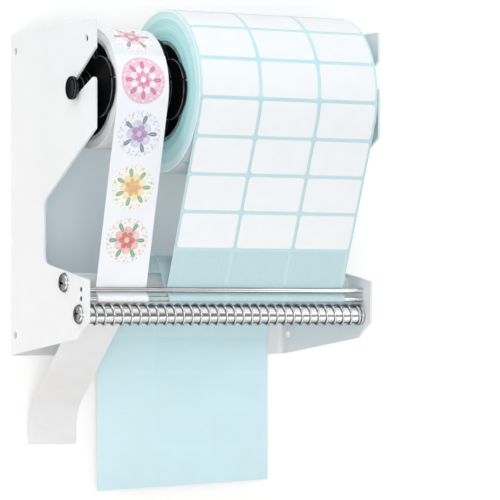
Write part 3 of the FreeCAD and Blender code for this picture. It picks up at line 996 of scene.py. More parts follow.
@dataclass(frozen=True)
class MouldedPlastic(Finish):
    """Black moulded plastic, satin, with a trace of dust and handling, and a painted highlight on its
    rounded edges.

    Attributes:
        painted_rim_highlight: its colour on rounded edges, a painted highlight.
    """

    colour: Colour = (0.0040, 0.0040, 0.0044)
    painted_rim_highlight: Colour = (0.16, 0.16, 0.165)
    dusty: Colour = (0.3, 0.3, 0.29)

    def surface(self, tree: Tree) -> Socket:
        """Writes near-black plastic with a fine mould texture and painted highlights on its rounded edges.

        Args:
            tree: the material's tree.

        Returns:
            The shader's output.
        """
        place, normal = tree.place(), tree.normal()
        rub = grain(tree, place, 55.0, 160.0)
        dust = DUST.use(tree, Place=place, Normal=normal).outputs[0]
        colour = tree.blend(tree.times(rub, 0.6), self.colour, toned(self.colour, 1.6))
        colour = tree.blend(tree.times(dust, 0.02), colour, self.dusty)
        # Painted highlight: rounded edges, whose normal leans partly along X, take a paler colour.
        lean = tree.number("ABSOLUTE", tree.split(normal)[0])
        edge = tree.times(tree.between(lean, 0.12, 0.4), tree.between(lean, 0.7, 0.9, 1.0, 0.0))
        edge = tree.times(edge, tree.between(rub, 0.0, 1.0, 0.25, 1.0))
        return tree.principled(
            Base_Color=tree.blend(edge, colour, self.painted_rim_highlight),
            Roughness=tree.between(rub, 0.0, 1.0, 0.16, 0.28),
            Normal=tree.bump(grain(tree, place, 2600.0), 0.000006),
            Specular_IOR_Level=tree.between(lean, 0.8, 0.95, 0.07, 0.01),
        )


@dataclass(frozen=True)
class CoreBoard(Finish):
    """Spiral-wound board of a paper core.

    Attributes:
        pitch: the turns of its spiral seam per metre.
    """

    axis: Vector
    colour: Colour
    pitch: float = 16.0

    def surface(self, tree: Tree) -> Socket:
        """Writes board with fibres, plies on its ends and a spiral seam.

        Args:
            tree: the material's tree.

        Returns:
            The shader's output.
        """
        place = tree.place()
        fibres = grain(tree, place, 900.0, 260.0)
        rings = LAYERS.use(
            tree, Place=place, Normal=tree.normal(), Axis=self.axis, Coarse=900.0, Fine=3500.0
        ).outputs
        x, y, z = tree.split(tree.vector("SUBTRACT", place, self.axis).outputs[0])
        round_about = tree.number("ARCTAN2", z, y)
        turn = tree.number("MULTIPLY_ADD", round_about, 1 / FULL_TURN, tree.times(x, self.pitch))
        off = tree.number("ABSOLUTE", tree.minus(tree.number("FRACT", turn), 0.5))
        seam = tree.between(off, 0.0, 0.02, 1.0, 0.0)
        plies = tree.times(rings["Edges"], rings["Side"])
        colour = tree.blend(fibres, self.colour, toned(self.colour, 1.45))
        for mask, share in ((grain(tree, place, 90.0), 0.25), (plies, 0.5), (seam, 0.7)):
            colour = tree.blend(tree.times(mask, share), colour, toned(self.colour, 0.55))
        relief = tree.bump(tree.minus(fibres, seam), 0.00005)
        return tree.principled(Base_Color=colour, Roughness=0.9, Normal=relief)


@dataclass(frozen=True)
class WoundPaper(Finish):
    """The sides and the outer turn of a wound roll.

    Attributes:
        shade: the colour of its darker turns.
        face: the colour of its outer turn.
        near: the radius at which the inner colour starts to change.
        far: the radius at which it has become the outer one.
        bright: the colour of its finest edges.
    """

    axis: Vector
    inner: Colour
    outer: Colour
    shade: Colour
    face: Colour
    near: float
    far: float
    bright: Colour = (0.98, 0.99, 0.99)

    def surface(self, tree: Tree) -> Socket:
        """Writes ring upon ring of paper edges, and smooth paper on the outer turn.

        Args:
            tree: the material's tree.

        Returns:
            The shader's output.
        """
        place = tree.place()
        rings = LAYERS.use(
            tree, Place=place, Normal=tree.normal(), Axis=self.axis, Coarse=230.0, Fine=1500.0,
            Wander=0.005,
        ).outputs
        edge = tree.blend(tree.between(rings["Radius"], self.near, self.far), self.inner, self.outer)
        edge = tree.blend(tree.times(rings["Tone"], 0.85), edge, self.shade)
        edge = tree.blend(tree.times(rings["Edges"], 0.35), edge, self.bright)
        paper = tree.blend(grain(tree, place, 60.0), toned(self.face, 0.95), self.face)
        steps = tree.times(rings["Edges"], rings["Side"])
        relief = tree.number("MULTIPLY_ADD", grain(tree, place, 700.0), 0.06, steps)
        return tree.principled(
            Base_Color=tree.blend(rings["Side"], paper, edge),
            Roughness=tree.between(rings["Side"], 0.0, 1.0, 0.38, 0.62),
            Normal=tree.bump(relief, 0.00014),
        )


@dataclass(frozen=True)
class LinerPaper(Finish):
    """Glazed liner paper with the die's outlines, laid out on the sheet's own flat map.

    Attributes:
        tail: its colour from the rods down to its end, painted light where paler than the web and painted
            shade where darker.
        mark: its colour where a label lay.
        cell: the pitch of the labels across and along.
        shift: how far the labels' grid is moved across and along.
        strength: how clear the marks are.
        round_mark: 1 for round labels, 0 for square ones.
    """

    colour: Colour
    tail: Colour
    mark: Colour
    size: Pair
    cell: Pair
    label: Pair
    strength: float
    shift: Pair = (0.0, 0.0)
    round_mark: float = 0.0
    cloud: Colour = (0.35, 0.42, 0.45)
    fibre: Colour = (0.95, 0.97, 0.98)

    def surface(self, tree: Tree) -> Socket:
        """Writes glassy paper with fibres, a faint cloud and pressed lines.

        Args:
            tree: the material's tree.

        Returns:
            The shader's output.
        """
        place = tree.place()
        unit = tree.node("UVMap", uv_map="Flat").outputs[0]
        spread = tree.vector("MULTIPLY", unit, (*self.size, 0.0)).outputs[0]
        marks = DIE_MARKS.use(
            tree, Flat=tree.vector("SUBTRACT", spread, (*self.shift, 0.0)).outputs[0],
            Width=self.label[0], Height=self.label[1], Round=self.round_mark,
            **{"Column pitch": self.cell[0], "Row pitch": self.cell[1]},
        ).outputs
        fibres = grain(tree, place, 520.0)
        # Painted light and shade: past the rods the liner takes the tail colour, paler than the web on the
        # label liner and darker on the sticker liner.
        below = tree.between(tree.split(unit)[1], 0.55, 0.8)
        colour = tree.blend(below, self.colour, self.tail)
        colour = tree.blend(tree.times(grain(tree, place, 38.0), 0.06), colour, self.cloud)
        colour = tree.blend(tree.times(fibres, 0.10), colour, self.fibre)
        colour = tree.blend(tree.times(marks["Gap"], self.strength), colour, self.mark)
        relief = tree.number("MULTIPLY_ADD", fibres, 0.25, tree.times(marks["Line"], -1.0))
        return tree.principled(
            Base_Color=colour, Roughness=tree.between(fibres, 0.0, 1.0, 0.30, 0.44),
            Normal=tree.bump(relief, 0.00003), Specular_IOR_Level=0.45,
        )


@dataclass(frozen=True)
class LabelPaper(Finish):
    """Blank matt-coated label paper."""

    colour: Colour = (0.93, 0.915, 0.91)

    def surface(self, tree: Tree) -> Socket:
        """Writes white paper with short fibres.

        Args:
            tree: the material's tree.

        Returns:
            The shader's output.
        """
        place = tree.place()
        fibres = grain(tree, place, 1300.0)
        return tree.principled(
            Base_Color=tree.blend(grain(tree, place, 75.0), toned(self.colour, 0.975), self.colour),
            Roughness=tree.between(fibres, 0.0, 1.0, 0.42, 0.55), Normal=tree.bump(fibres, 0.00001),
        )


@dataclass(frozen=True)
class StickerPrint(Finish):
    """A printed glossy sticker, its pattern laid out on the disc's own flat map.

    Attributes:
        petals: how many petals its flower has.
        ground: the colour of its ground.
        first: the colour of the flower and the large drops.
        second: the colour of the veins, the inner petals and the small drops.
        third: the colour of the middle and every other large drop.
        fourth: the colour of the leaves and every other small drop.
    """

    petals: float
    ground: Colour
    first: Colour
    second: Colour
    third: Colour
    fourth: Colour

    def surface(self, tree: Tree) -> Socket:
        """Writes the print under a thin gloss.

        Args:
            tree: the material's tree.

        Returns:
            The shader's output.
        """
        fibres = grain(tree, tree.place(), 1100.0)
        motif = MOTIF.use(
            tree, Disc=tree.node("UVMap", uv_map="Flat").outputs[0], Petals=self.petals,
            Ground=self.ground, First=self.first, Second=self.second, Third=self.third,
            Fourth=self.fourth,
        )
        return tree.principled(
            Base_Color=motif.outputs[0], Roughness=tree.between(fibres, 0.0, 1.0, 0.24, 0.34),
            Normal=tree.bump(fibres, 0.000006), Coat_Weight=0.25, Coat_Roughness=0.12,
        )


class Print(Enum):
    """The printed stickers, in the order in which they follow each other on the liner."""

    BLUSH = StickerPrint(
        "sticker_blush", 6.0, (0.94, 0.90, 0.90), (0.88, 0.56, 0.62), (0.66, 0.20, 0.32),
        (0.90, 0.70, 0.45), (0.26, 0.34, 0.27),
    )
    ROSE = StickerPrint(
        "sticker_rose", 8.0, (0.90, 0.58, 0.67), (0.95, 0.80, 0.84), (0.74, 0.18, 0.34),
        (0.97, 0.93, 0.90), (0.62, 0.22, 0.36),
    )
    LILAC = StickerPrint(
        "sticker_lilac", 5.0, (0.91, 0.90, 0.93), (0.70, 0.60, 0.76), (0.40, 0.26, 0.48),
        (0.86, 0.50, 0.60), (0.20, 0.28, 0.27),
    )
    APRICOT = StickerPrint(
        "sticker_apricot", 7.0, (0.94, 0.93, 0.88), (0.94, 0.74, 0.40), (0.80, 0.42, 0.16),
        (0.82, 0.44, 0.40), (0.34, 0.46, 0.24),
    )
    CORAL = StickerPrint(
        "sticker_coral", 6.0, (0.94, 0.91, 0.89), (0.88, 0.46, 0.42), (0.66, 0.13, 0.16),
        (0.88, 0.66, 0.38), (0.24, 0.40, 0.23),
    )


# ---- places and finishes shared by the sub-assemblies ----

FRAME_BOX = Span.of("frame")
AXLE_BOX = Span.of("axle_shaft")
AXLE_LINE = Vector((0.0, AXLE_BOX.centre.y, AXLE_BOX.centre.z))
BAR_BOX = Span.of("spring_bar")
BAR_LINE = Vector((0.0, BAR_BOX.centre.y, BAR_BOX.centre.z))
BAR_RADIUS = 0.0073

POWDER_COAT = PowderCoat("powder_coat")
DRAWN_STEEL = DrawnSteel("drawn_steel", (0.76, 0.76, 0.76), lines=0.22)
ROD_STEEL = DrawnSteel("rod_steel", (0.86, 0.86, 0.86), 0.03, lines=0.8)
SATIN_STEEL = DrawnSteel("satin_steel", (0.92, 0.92, 0.92), 0.28, lines=0.15, metal=0.5)
SPRING_STEEL = DrawnSteel("coiled_steel", (0.72, 0.72, 0.72), 0.18, 0.3, 0.2, 0.6)
SCREW_PLATE = PolishedHead("screw_plate")
# Painted shade: the cross recess is a dark copy of the plate.
SCREW_RECESS_SHADE = PolishedHead("screw_recess_shade", (0.05, 0.05, 0.05), (0.08, 0.08, 0.08))
BLACK_PLASTIC = MouldedPlastic("moulded_plastic")
STICKER_CORE = CoreBoard("sticker_core_board", AXLE_LINE, (0.56, 0.56, 0.55))
LABEL_CORE = CoreBoard("label_core_board", AXLE_LINE, (0.24, 0.40, 0.41))
LABEL_PAPER = LabelPaper("label_paper")


# ---- the frame, the bars and their screws ----


@dataclass
class FoldedFrame:
    """The bent sheet frame, with softened cut edges under its paint."""

    edge_round: float = 0.0004
    node: str = "frame"

    def build(self) -> Piece:
        """Models, finishes and mounts the frame.

        Returns:
            The frame.
        """
        piece = BENCH.copy_of_node(self.node)
        BENCH.soften(piece, self.edge_round)
        BENCH.settle(piece, "folded_frame")
        return mount(dress(piece, POWDER_COAT), "root", "frame_paint", self.node)


@dataclass
class Crossbars:
    """The guide tube, its inserts and the two peel rods, as the CAD has them, and the spring bar.

    Attributes:
        nodes: the CAD nodes that are shown.
    """

    nodes: tuple[str, ...] = ("guide_tube", "guide_tube_inserts", "upper_peel_rod", "lower_peel_rod")
    chamfer: float = 0.0006
    steps: int = 96

    def spring_bar(self) -> Piece:
        """Turns, finishes and mounts the bar that the spring runs on.

        Returns:
            The bar.
        """
        low, high, slim = BAR_BOX.low.x, BAR_BOX.high.x, BAR_RADIUS - self.chamfer
        outline = [
            Ring(low, 0.0), Ring(low, slim), Ring(low + self.chamfer, BAR_RADIUS),
            Ring(high - self.chamfer, BAR_RADIUS), Ring(high, slim), Ring(high, 0.0),
        ]
        piece = BENCH.turned(outline, BAR_BOX.centre, self.steps)
        BENCH.settle(piece, "spring_bar_steel")
        BENCH.shade(piece)
        return mount(dress(piece, DRAWN_STEEL), "root", "bright_steel", "spring_bar")

    def build(self) -> None:
        """Finishes the bars."""
        for node in self.nodes:
            dress(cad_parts[node], SATIN_STEEL if node.startswith("guide") else ROD_STEEL)
            LOG.info("%s: finished", node)
        self.spring_bar()


@dataclass
class PanHeadScrew:
    """A pan-head screw with a tapered cross recess, modelled once along X and copied.

    Attributes:
        head_power: how full the curve of the head is.
        flange_roll: how far the rounding reaches in.
        foot: how far the head goes straight up before it curves.
        under: the small chamfer under the flange.
        recess_span: the width of the cross at its mouth.
        recess_width: the width of one arm of the cross.
        recess_taper: how much smaller the cross is at its floor.
        recess_reach: the part of the head's radius in which the cross lies.
        margin: how far beyond the head the cutter of the cross starts.
    """

    head_radius: float = 0.0073
    head_height: float = 0.0036
    head_power: float = 0.8
    flange_radius: float = 0.008
    flange_height: float = 0.0008
    flange_round: float = 0.0005
    flange_roll: float = 0.0010
    foot: float = 0.0006
    under: float = 0.0002
    shank_radius: float = 0.004
    shank_length: float = 0.012
    recess_span: float = 0.0088
    recess_width: float = 0.0022
    recess_depth: float = 0.0032
    recess_taper: float = 0.55
    recess_reach: float = 0.66
    margin: float = 0.001
    edge_round: float = 0.00012
    flange_steps: int = 3
    head_steps: int = 8
    steps: int = 64

    @property
    def side(self) -> float:
        """The height at which the head's curve starts."""
        return self.flange_height + self.foot

    def outline(self) -> list[Ring]:
        """Draws a screw whose head faces -X and sits on the plane x = 0.

        Returns:
            The rings of its outline.
        """
        rim = self.flange_radius
        rings = [
            Ring(self.shank_length, 0.0), Ring(self.shank_length, self.shank_radius),
            Ring(0.0, self.shank_radius), Ring(0.0, rim - self.under), Ring(-self.under, rim),
        ]
        for number in range(self.flange_steps + 1):
            turn = number / self.flange_steps * QUARTER_TURN
            lean = self.flange_height - self.flange_round + self.flange_round * math.sin(turn)
            rings.append(Ring(-lean, rim - self.flange_roll + self.flange_roll * math.cos(turn)))
        rings.append(Ring(-self.flange_height, self.head_radius))
        for number in range(self.head_steps):
            turn = number / self.head_steps * QUARTER_TURN
            rise = self.side + (self.head_height - self.side) * math.sin(turn)
            rings.append(Ring(-rise, self.head_radius * math.cos(turn) ** self.head_power))
        return rings + [Ring(-self.head_height, 0.0)]

    def arm(self, turn: float) -> Piece:
        """Models a tapered arm of the cross recess, to be cut out of the head.

        Args:
            turn: its turn about the screw's own line.

        Returns:
            The cutter.
        """
        BENCH.clear()
        depth = self.recess_depth + self.margin
        middle = -self.head_height - self.margin + depth / 2
        bpy.ops.mesh.primitive_cube_add(size=1.0, location=(middle, 0.0, 0.0))
        piece = bpy.context.object
        piece.scale = (depth, self.recess_span, self.recess_width)
        piece.rotation_euler = (turn, 0.0, 0.0)
        BENCH.settle(piece, "recess_arm")
        BENCH.select_faces(piece, lambda face: face.normal.x > 0.9)
        taper = (1.0, self.recess_taper, self.recess_taper)
        bpy.ops.transform.resize(value=taper, center_override=(0.0, 0.0, 0.0))
        BENCH.leave()
        return piece

    def model(self) -> Piece:
        """Makes the one screw that the others are copied from.

        Returns:
            The screw, finished.
        """
        piece = BENCH.turned(self.outline(), Vector(), self.steps)
        for turn in (0.0, QUARTER_TURN):
            BENCH.cut(piece, self.arm(turn))
        BENCH.soften(piece, self.edge_round, angle=35.0)
        return self.plate(BENCH.settle(piece, "screw_model"))

    def plate(self, piece: Piece) -> Piece:
        """Finishes the screw: bright outside and painted shade down in the cross.

        Args:
            piece: the screw.

        Returns:
            The same screw.
        """
        piece.data.materials.clear()
        for finish in (SCREW_PLATE, SCREW_RECESS_SHADE):
            piece.data.materials.append(finish.material())
        below = 0.00015
        for face in piece.data.polygons:
            away = math.hypot(face.center.y, face.center.z) / self.head_radius
            curve = math.sqrt(max(0.0, 1.0 - away ** (2 / self.head_power)))
            rise = self.side + (self.head_height - self.side) * curve
            # Faces down in the cross take the dark recess finish, a painted shade.
            if away < self.recess_reach and 0.0 < -face.center.x < rise - below:
                face.material_index = 1
        return piece


@dataclass
class ScrewPairs:
    """The four screws that hold the guide tube and the spring bar, two to a node.

    Attributes:
        pairs: for each pair the node of its bar, its own node and how far its crosses are turned.
        apart: how far the two crosses of a pair are turned away from their mean.
    """

    pairs: tuple[tuple[str, str, float], ...] = (
        ("guide_tube", "guide_tube_screws", math.radians(38)),
        ("spring_bar", "spring_bar_screws", math.radians(12)),
    )
    apart: float = 0.35
    screw: PanHeadScrew = field(default_factory=PanHeadScrew)

    def copy(self, model: Piece, bar: Span, side: Side, turn: float) -> Piece:
        """Copies the screw to one end of a bar.

        Args:
            model: the screw to copy.
            bar: the bar's box.
            side: the panel that it is on.
            turn: how far the cross is turned.

        Returns:
            The copy.
        """
        piece = BENCH.copy(model)
        place = Vector((FRAME_BOX.outer(side), bar.centre.y, bar.centre.z))
        facing = 0.0 if side is Side.LEFT else math.pi
        piece.matrix_world = (
            Matrix.Translation(place) @ Matrix.Rotation(facing, 4, "Z") @ Matrix.Rotation(turn, 4, "X")
        )
        return piece

    def build(self) -> None:
        """Models, finishes and mounts the screws."""
        model = self.screw.model()
        for bar_node, node, turn in self.pairs:
            bar = Span.of(bar_node)
            ends = [self.copy(model, bar, side, turn + side.value * self.apart) for side in Side]
            piece = BENCH.settle(BENCH.join(ends), node.replace("screws", "screw_pair"))
            BENCH.shade(piece)
            mount(piece, "root", "bright_steel", node)
        bpy.data.objects.remove(model)


@dataclass
class CoilSpring:
    """The loose coil spring on the bar, with closed turns at both ends.

    Attributes:
        clearance: the gap between its wire and the bar.
        tightness: the pitch of its closed turns, in wire radii.
        closed_turns: how many turns lie against each other at each end.
        open_turns: how many open turns are between them.
        weld: how far apart the ends of its stretches are at most.
    """

    wire_radius: float = 0.00076
    clearance: float = 0.0001
    tightness: float = 2.06
    closed_turns: float = 1.5
    open_turns: int = 32
    weld: float = 0.00002
    steps: int = 36
    sides: int = 12

    def winding(self, x: float, turns: float, pitch: float, turn: float) -> Piece:
        """Winds a stretch of the coil with one pitch.

        Args:
            x: where it starts.
            turns: how many turns it has.
            pitch: how far one turn goes along the bar.
            turn: how far its start is turned about the bar.

        Returns:
            The open tube.
        """
        BENCH.clear()
        radius = BAR_RADIUS + self.clearance + self.wire_radius
        bpy.ops.mesh.primitive_circle_add(
            vertices=self.sides, radius=self.wire_radius, fill_type="NOTHING",
            location=(x, BAR_LINE.y, BAR_LINE.z + radius), rotation=(QUARTER_TURN, 0.0, 0.0),
        )
        piece = bpy.context.object
        BENCH.edit(piece)
        bpy.ops.transform.rotate(value=-turn, orient_axis="X", center_override=tuple(BAR_LINE))
        BENCH.leave()
        BENCH.settle(piece, "coil_stretch")
        bpy.context.scene.cursor.location = BAR_LINE
        bpy.ops.object.origin_set(type="ORIGIN_CURSOR")
        bpy.context.scene.cursor.location = Vector()
        steps = round(self.steps * turns)
        BENCH.apply(
            piece, "SCREW", axis="X", angle=FULL_TURN * turns, screw_offset=pitch * turns,
            steps=steps, render_steps=steps, use_merge_vertices=False,
        )
        return piece

    def build(self) -> Piece:
        """Models, finishes and mounts the spring.

        Returns:
            The spring.
        """
        box = Span.of("spring_coil")
        tight = self.tightness * self.wire_radius
        first = self.closed_turns * tight
        start = box.low.x + self.wire_radius
        run = box.width - 2 * self.wire_radius
        pitch = (run - 2 * self.closed_turns * tight) / self.open_turns
        half = FULL_TURN * (self.closed_turns % 1)
        piece = BENCH.join([
            self.winding(start, self.closed_turns, tight, 0.0),
            self.winding(start + first, self.open_turns, pitch, half),
            self.winding(start + first + pitch * self.open_turns, self.closed_turns, tight, half),
        ])
        BENCH.edit(piece)
        bpy.ops.mesh.remove_doubles(threshold=self.weld)
        bpy.ops.mesh.select_all(action="DESELECT")
        bpy.ops.mesh.select_non_manifold()
        bpy.ops.mesh.edge_face_add()
        BENCH.close()
        BENCH.settle(piece, "coil_spring")
        BENCH.shade(piece)
        return mount(dress(piece, SPRING_STEEL), "spring", "spring_steel", "spring_coil")


# ---- the axle and the hubs ----


@dataclass
class Axle:
    """The lift-out shaft and its two knobs.

    Attributes:
        groove_place: how far the groove is from its shoulder.
        play: how far the shoulders stand back from the ends of the spring bar.
        stub_radius: the radius of the stubs that the knobs sit on.
        knob_gap: the gap between a panel and its knob.
        knob_back: the rings of a knob's back edge, as depth and drop below the rim.
        knob_front: the same for its front edge and its raised lip.
        knob_dimple: the rings of the dimple in its face, as depth and radius.
    """

    neck_radius: float = 0.0058
    chamfer: float = 0.0006
    groove: float = 0.0005
    groove_place: float = 0.004
    play: float = 0.001
    stub_radius: float = 0.003
    knob_gap: float = 0.0014
    edge_round: float = 0.00015
    knob_back: tuple[Pair, ...] = ((0.0, 0.0012), (0.0004, 0.0003), (0.0012, 0.0))
    knob_front: tuple[Pair, ...] = (
        (0.0012, 0.0), (0.0004, 0.0003), (0.00005, 0.0010), (0.0, 0.0022), (0.00035, 0.0030),
    )
    knob_dimple: tuple[Pair, ...] = ((0.00030, 0.0035), (0.0008, 0.0010), (0.0008, 0.0))
    steps: int = 96

    def shaft_outline(self) -> list[Ring]:
        """Draws the shaft, from one stub to the other.

        Returns:
            The rings of its outline.
        """
        radius, stub = AXLE_BOX.radius, AXLE_BOX.high.x
        shoulder = BAR_BOX.high.x - self.play
        groove = shoulder - self.groove_place
        neck = FRAME_BOX.high.x + self.knob_gap
        half = [
            Ring(groove - 2 * self.groove, radius), Ring(groove - self.groove, radius - self.groove),
            Ring(groove, radius), Ring(shoulder - self.chamfer, radius),
            Ring(shoulder, radius - self.chamfer), Ring(shoulder, self.neck_radius),
            Ring(neck, self.neck_radius), Ring(neck, self.stub_radius), Ring(stub, self.stub_radius),
            Ring(stub, 0.0),
        ]
        return [Ring(-ring.x, ring.radius) for ring in reversed(half)] + half

    def knob_outline(self, box: Span) -> list[Ring]:
        """Draws a knob whose seat is x = 0 and whose face looks to -X.

        Args:
            box: the CAD knob's box.

        Returns:
            The rings of its outline.
        """
        rings = [Ring(0.0, 0.0), Ring(0.0, self.stub_radius)]
        rings += [Ring(-depth, box.radius - drop) for depth, drop in self.knob_back]
        rings += [Ring(depth - box.width, box.radius - drop) for depth, drop in self.knob_front]
        return rings + [Ring(depth - box.width, reach) for depth, reach in self.knob_dimple]

    def build(self) -> None:
        """Models, finishes and mounts the shaft and the knobs."""
        shaft = BENCH.turned(self.shaft_outline(), AXLE_LINE, self.steps)
        BENCH.soften(shaft, self.edge_round)
        BENCH.settle(shaft, "axle_bar")
        mount(dress(shaft, BLACK_PLASTIC), "axle", "black_plastic", "axle_shaft")
        for side, node in ((Side.LEFT, "left_axle_knob"), (Side.RIGHT, "right_axle_knob")):
            box = Span.of(node)
            knob = BENCH.turned(self.knob_outline(box), AXLE_LINE, self.steps)
            BENCH.turn_out(knob, side, box.inner(side), node.replace("axle_knob", "knob_disc"))
            mount(dress(knob, BLACK_PLASTIC), "axle", "black_plastic", node)


@dataclass
class Hub:
    """A roll hub: a cup, a flange of three lobes with round rims, and a boss.

    It is modelled once with its face on the plane x = 0 and its flange towards -X.

    Attributes:
        lobe_offset: how far the middle of a lobe is from the shaft's line.
        lobe_weld: the shortest edge that is left on a lobe.
        seam_weld: how far apart the ends of two lobes are at most.
        flange_gap: the gap between the flange and the cup's face.
        flange_lap: how far it reaches under the boss.
        rim_clear: how far from the boss an edge is to count as a rim.
        boss_tip: how far the boss stands out.
        slit_rise: how far it is above the middle of the lobe.
        slit_place: the middle of its cutter along X.
        slit_depth: the size of its cutter along X.
    """

    lobe_offset: float = 0.0215
    lobe_radius: float = 0.0245
    lobe_steps: int = 84
    lobe_weld: float = 0.0003
    seam_weld: float = 0.0002
    flange_gap: float = 0.0003
    flange_thickness: float = 0.004
    flange_edge: float = 0.0009
    flange_lap: float = 0.0006
    rim_clear: float = 0.004
    bore: float = 0.00905
    boss_radius: float = 0.014
    boss_tip: float = 0.0065
    boss_depth: float = 0.009
    plug_radius: float = 0.0378
    plug_wall: float = 0.0025
    plug_floor: float = 0.003
    plug_depth: float = 0.013
    edge_round: float = 0.0005
    slit_width: float = 0.0012
    slit_length: float = 0.005
    slit_rise: float = 0.0062
    slit_place: float = -0.004
    slit_depth: float = 0.01
    steps: int = 96

    def cup(self) -> Piece:
        """Turns the cup and the boss about the bore.

        Returns:
            The cup.
        """
        inner = self.plug_radius - self.plug_wall
        outline = [
            Ring(-self.boss_tip, self.bore), Ring(-self.boss_tip, self.boss_radius),
            Ring(0.0, self.boss_radius), Ring(0.0, self.plug_radius),
            Ring(self.plug_depth, self.plug_radius), Ring(self.plug_depth, inner),
            Ring(self.plug_floor, inner), Ring(self.plug_floor, self.boss_radius),
            Ring(self.boss_depth, self.boss_radius), Ring(self.boss_depth, self.bore),
            Ring(-self.boss_tip, self.bore),
        ]
        piece = BENCH.turned(outline, AXLE_LINE, self.steps)
        BENCH.soften(piece, self.edge_round, segments=3)
        return piece

    def circle(self, radius: float, forward: float = 0.0) -> None:
        """Adds an open circle in the flange's plane.

        Args:
            radius: its radius.
            forward: how far its middle is in front of the shaft's line.
        """
        bpy.ops.mesh.primitive_circle_add(
            vertices=self.lobe_steps, radius=radius, fill_type="NOTHING",
            location=(-self.flange_gap, AXLE_LINE.y - forward, AXLE_LINE.z),
            rotation=(0.0, QUARTER_TURN, 0.0),
        )

    def trefoil(self) -> Piece:
        """Draws the flange's outline of three lobes as a closed line, in edit mode.

        Returns:
            The outline.
        """
        line = tuple(AXLE_LINE)
        BENCH.clear()
        self.circle(self.lobe_radius, self.lobe_offset)
        BENCH.edit(bpy.context.object)
        for sign in (-1, 1):
            turn = sign * math.pi / 3
            cut = Vector((0.0, -math.sin(turn), -math.cos(turn))) * -sign
            bpy.ops.mesh.select_all(action="SELECT")
            bpy.ops.mesh.bisect(plane_co=line, plane_no=tuple(cut), clear_outer=True)
        BENCH.merge(self.lobe_weld)
        for _ in range(2):
            bpy.ops.mesh.duplicate()
            bpy.ops.transform.rotate(value=FULL_TURN / 3, orient_axis="X", center_override=line)
        BENCH.merge(self.seam_weld)
        return bpy.context.object

    def flange(self) -> Piece:
        """Fills the outline round the boss, thickens it and rounds its rims.

        Returns:
            The flange.
        """
        piece = self.trefoil()
        self.circle(self.boss_radius - self.flange_lap)
        bpy.ops.mesh.select_all(action="SELECT")
        bpy.ops.mesh.bridge_edge_loops()
        bpy.ops.mesh.select_all(action="SELECT")
        step = (-self.flange_thickness, 0.0, 0.0)
        bpy.ops.mesh.extrude_region_move(TRANSFORM_OT_translate={"value": step})
        BENCH.close()
        BENCH.settle(piece, "flange")
        self.round_rims(piece)
        return piece

    def round_rims(self, piece: Piece) -> None:
        """Rounds the two outer rims of the flange.

        Args:
            piece: the flange.
        """
        BENCH.select_faces(piece, lambda face: False)
        bpy.ops.mesh.select_mode(type="EDGE")
        BENCH.leave()
        for edge in piece.data.edges:
            ends = [piece.data.vertices[index].co for index in edge.vertices]
            near = min(math.hypot(end.y - AXLE_LINE.y, end.z - AXLE_LINE.z) for end in ends)
            level = abs(ends[0].x - ends[1].x) < MERGE_DISTANCE
            edge.select = level and near > self.boss_radius + self.rim_clear
        bpy.ops.object.mode_set(mode="EDIT")
        bpy.ops.mesh.bevel(offset=self.flange_edge, segments=3, affect="EDGES", clamp_overlap=True)
        BENCH.leave()

    def slit(self) -> Piece:
        """Models what is cut out for the small slit in the rim of the front lobe.

        Returns:
            The cutter.
        """
        BENCH.clear()
        rim = AXLE_LINE.y - self.lobe_offset - self.lobe_radius
        place = (self.slit_place, rim, AXLE_LINE.z + self.slit_rise)
        bpy.ops.mesh.primitive_cube_add(size=1.0, location=place)
        piece = bpy.context.object
        piece.scale = (self.slit_depth, 2 * self.slit_length, self.slit_width)
        return BENCH.settle(piece, "slit")

    def model(self) -> Piece:
        """Makes the one hub that the others are copied from.

        Returns:
            The hub.
        """
        flange = self.flange()
        BENCH.cut(flange, self.slit())
        BENCH.shade(flange)
        return BENCH.settle(BENCH.join([flange, self.cup()]), "hub_model")


@dataclass
class Hubs:
    """The four hubs, two to a roll, each on its own body.

    Attributes:
        nodes: the hubs' nodes, which are their bodies too, and the sides that they look to.
    """

    nodes: tuple[tuple[str, Side], ...] = (
        ("sticker_hub_left", Side.LEFT), ("sticker_hub_right", Side.RIGHT),
        ("label_hub_left", Side.LEFT), ("label_hub_right", Side.RIGHT),
    )
    hub: Hub = field(default_factory=Hub)

    def build(self) -> None:
        """Models, finishes and mounts the hubs."""
        model = self.hub.model()
        for node, side in self.nodes:
            piece = BENCH.copy(model)
            face = Span.of(node).outer(side) - side.value * self.hub.boss_tip
            BENCH.turn_out(piece, side, face, node.replace("hub", "roll_hub"))
            mount(dress(piece, BLACK_PLASTIC), node, "black_plastic", node)
        bpy.data.objects.remove(model)


# ---- routes of the webs, in depth and height ----


@dataclass(frozen=True)
class Circle:
    """A circle that a web goes round.

    Attributes:
        turn: 1 where the web goes round it to the left, else -1.
    """

    depth: float
    height: float
    radius: float
    turn: int

    def at(self, heading: float) -> Pair:
        """The point where a web of a heading touches the circle."""
        reach = self.turn * self.radius
        return self.depth + reach * math.sin(heading), self.height - reach * math.cos(heading)


@dataclass(frozen=True)
class Run:
    """A stretch of a route with one curvature.

    Attributes:
        heading: its heading at its start.
        curvature: its curvature, left turns counted as positive.
    """

    depth: float
    height: float
    heading: float
    length: float
    curvature: float

    def at(self, distance: float, offset: float) -> Pair:
        """Finds a point beside the run.

        Args:
            distance: how far along the run it is.
            offset: how far to the left of the run it is.

        Returns:
            Its depth and height.
        """
        heading = self.heading + self.curvature * distance
        sine, cosine = math.sin(heading), math.cos(heading)
        if not self.curvature:
            depth = self.depth + distance * cosine - offset * sine
            return depth, self.height + distance * sine + offset * cosine
        radius = 1 / self.curvature
        centre_depth = self.depth - radius * math.sin(self.heading)
        centre_height = self.height + radius * math.cos(self.heading)
        reach = radius - offset
        return centre_depth + reach * sine, centre_height - reach * cosine


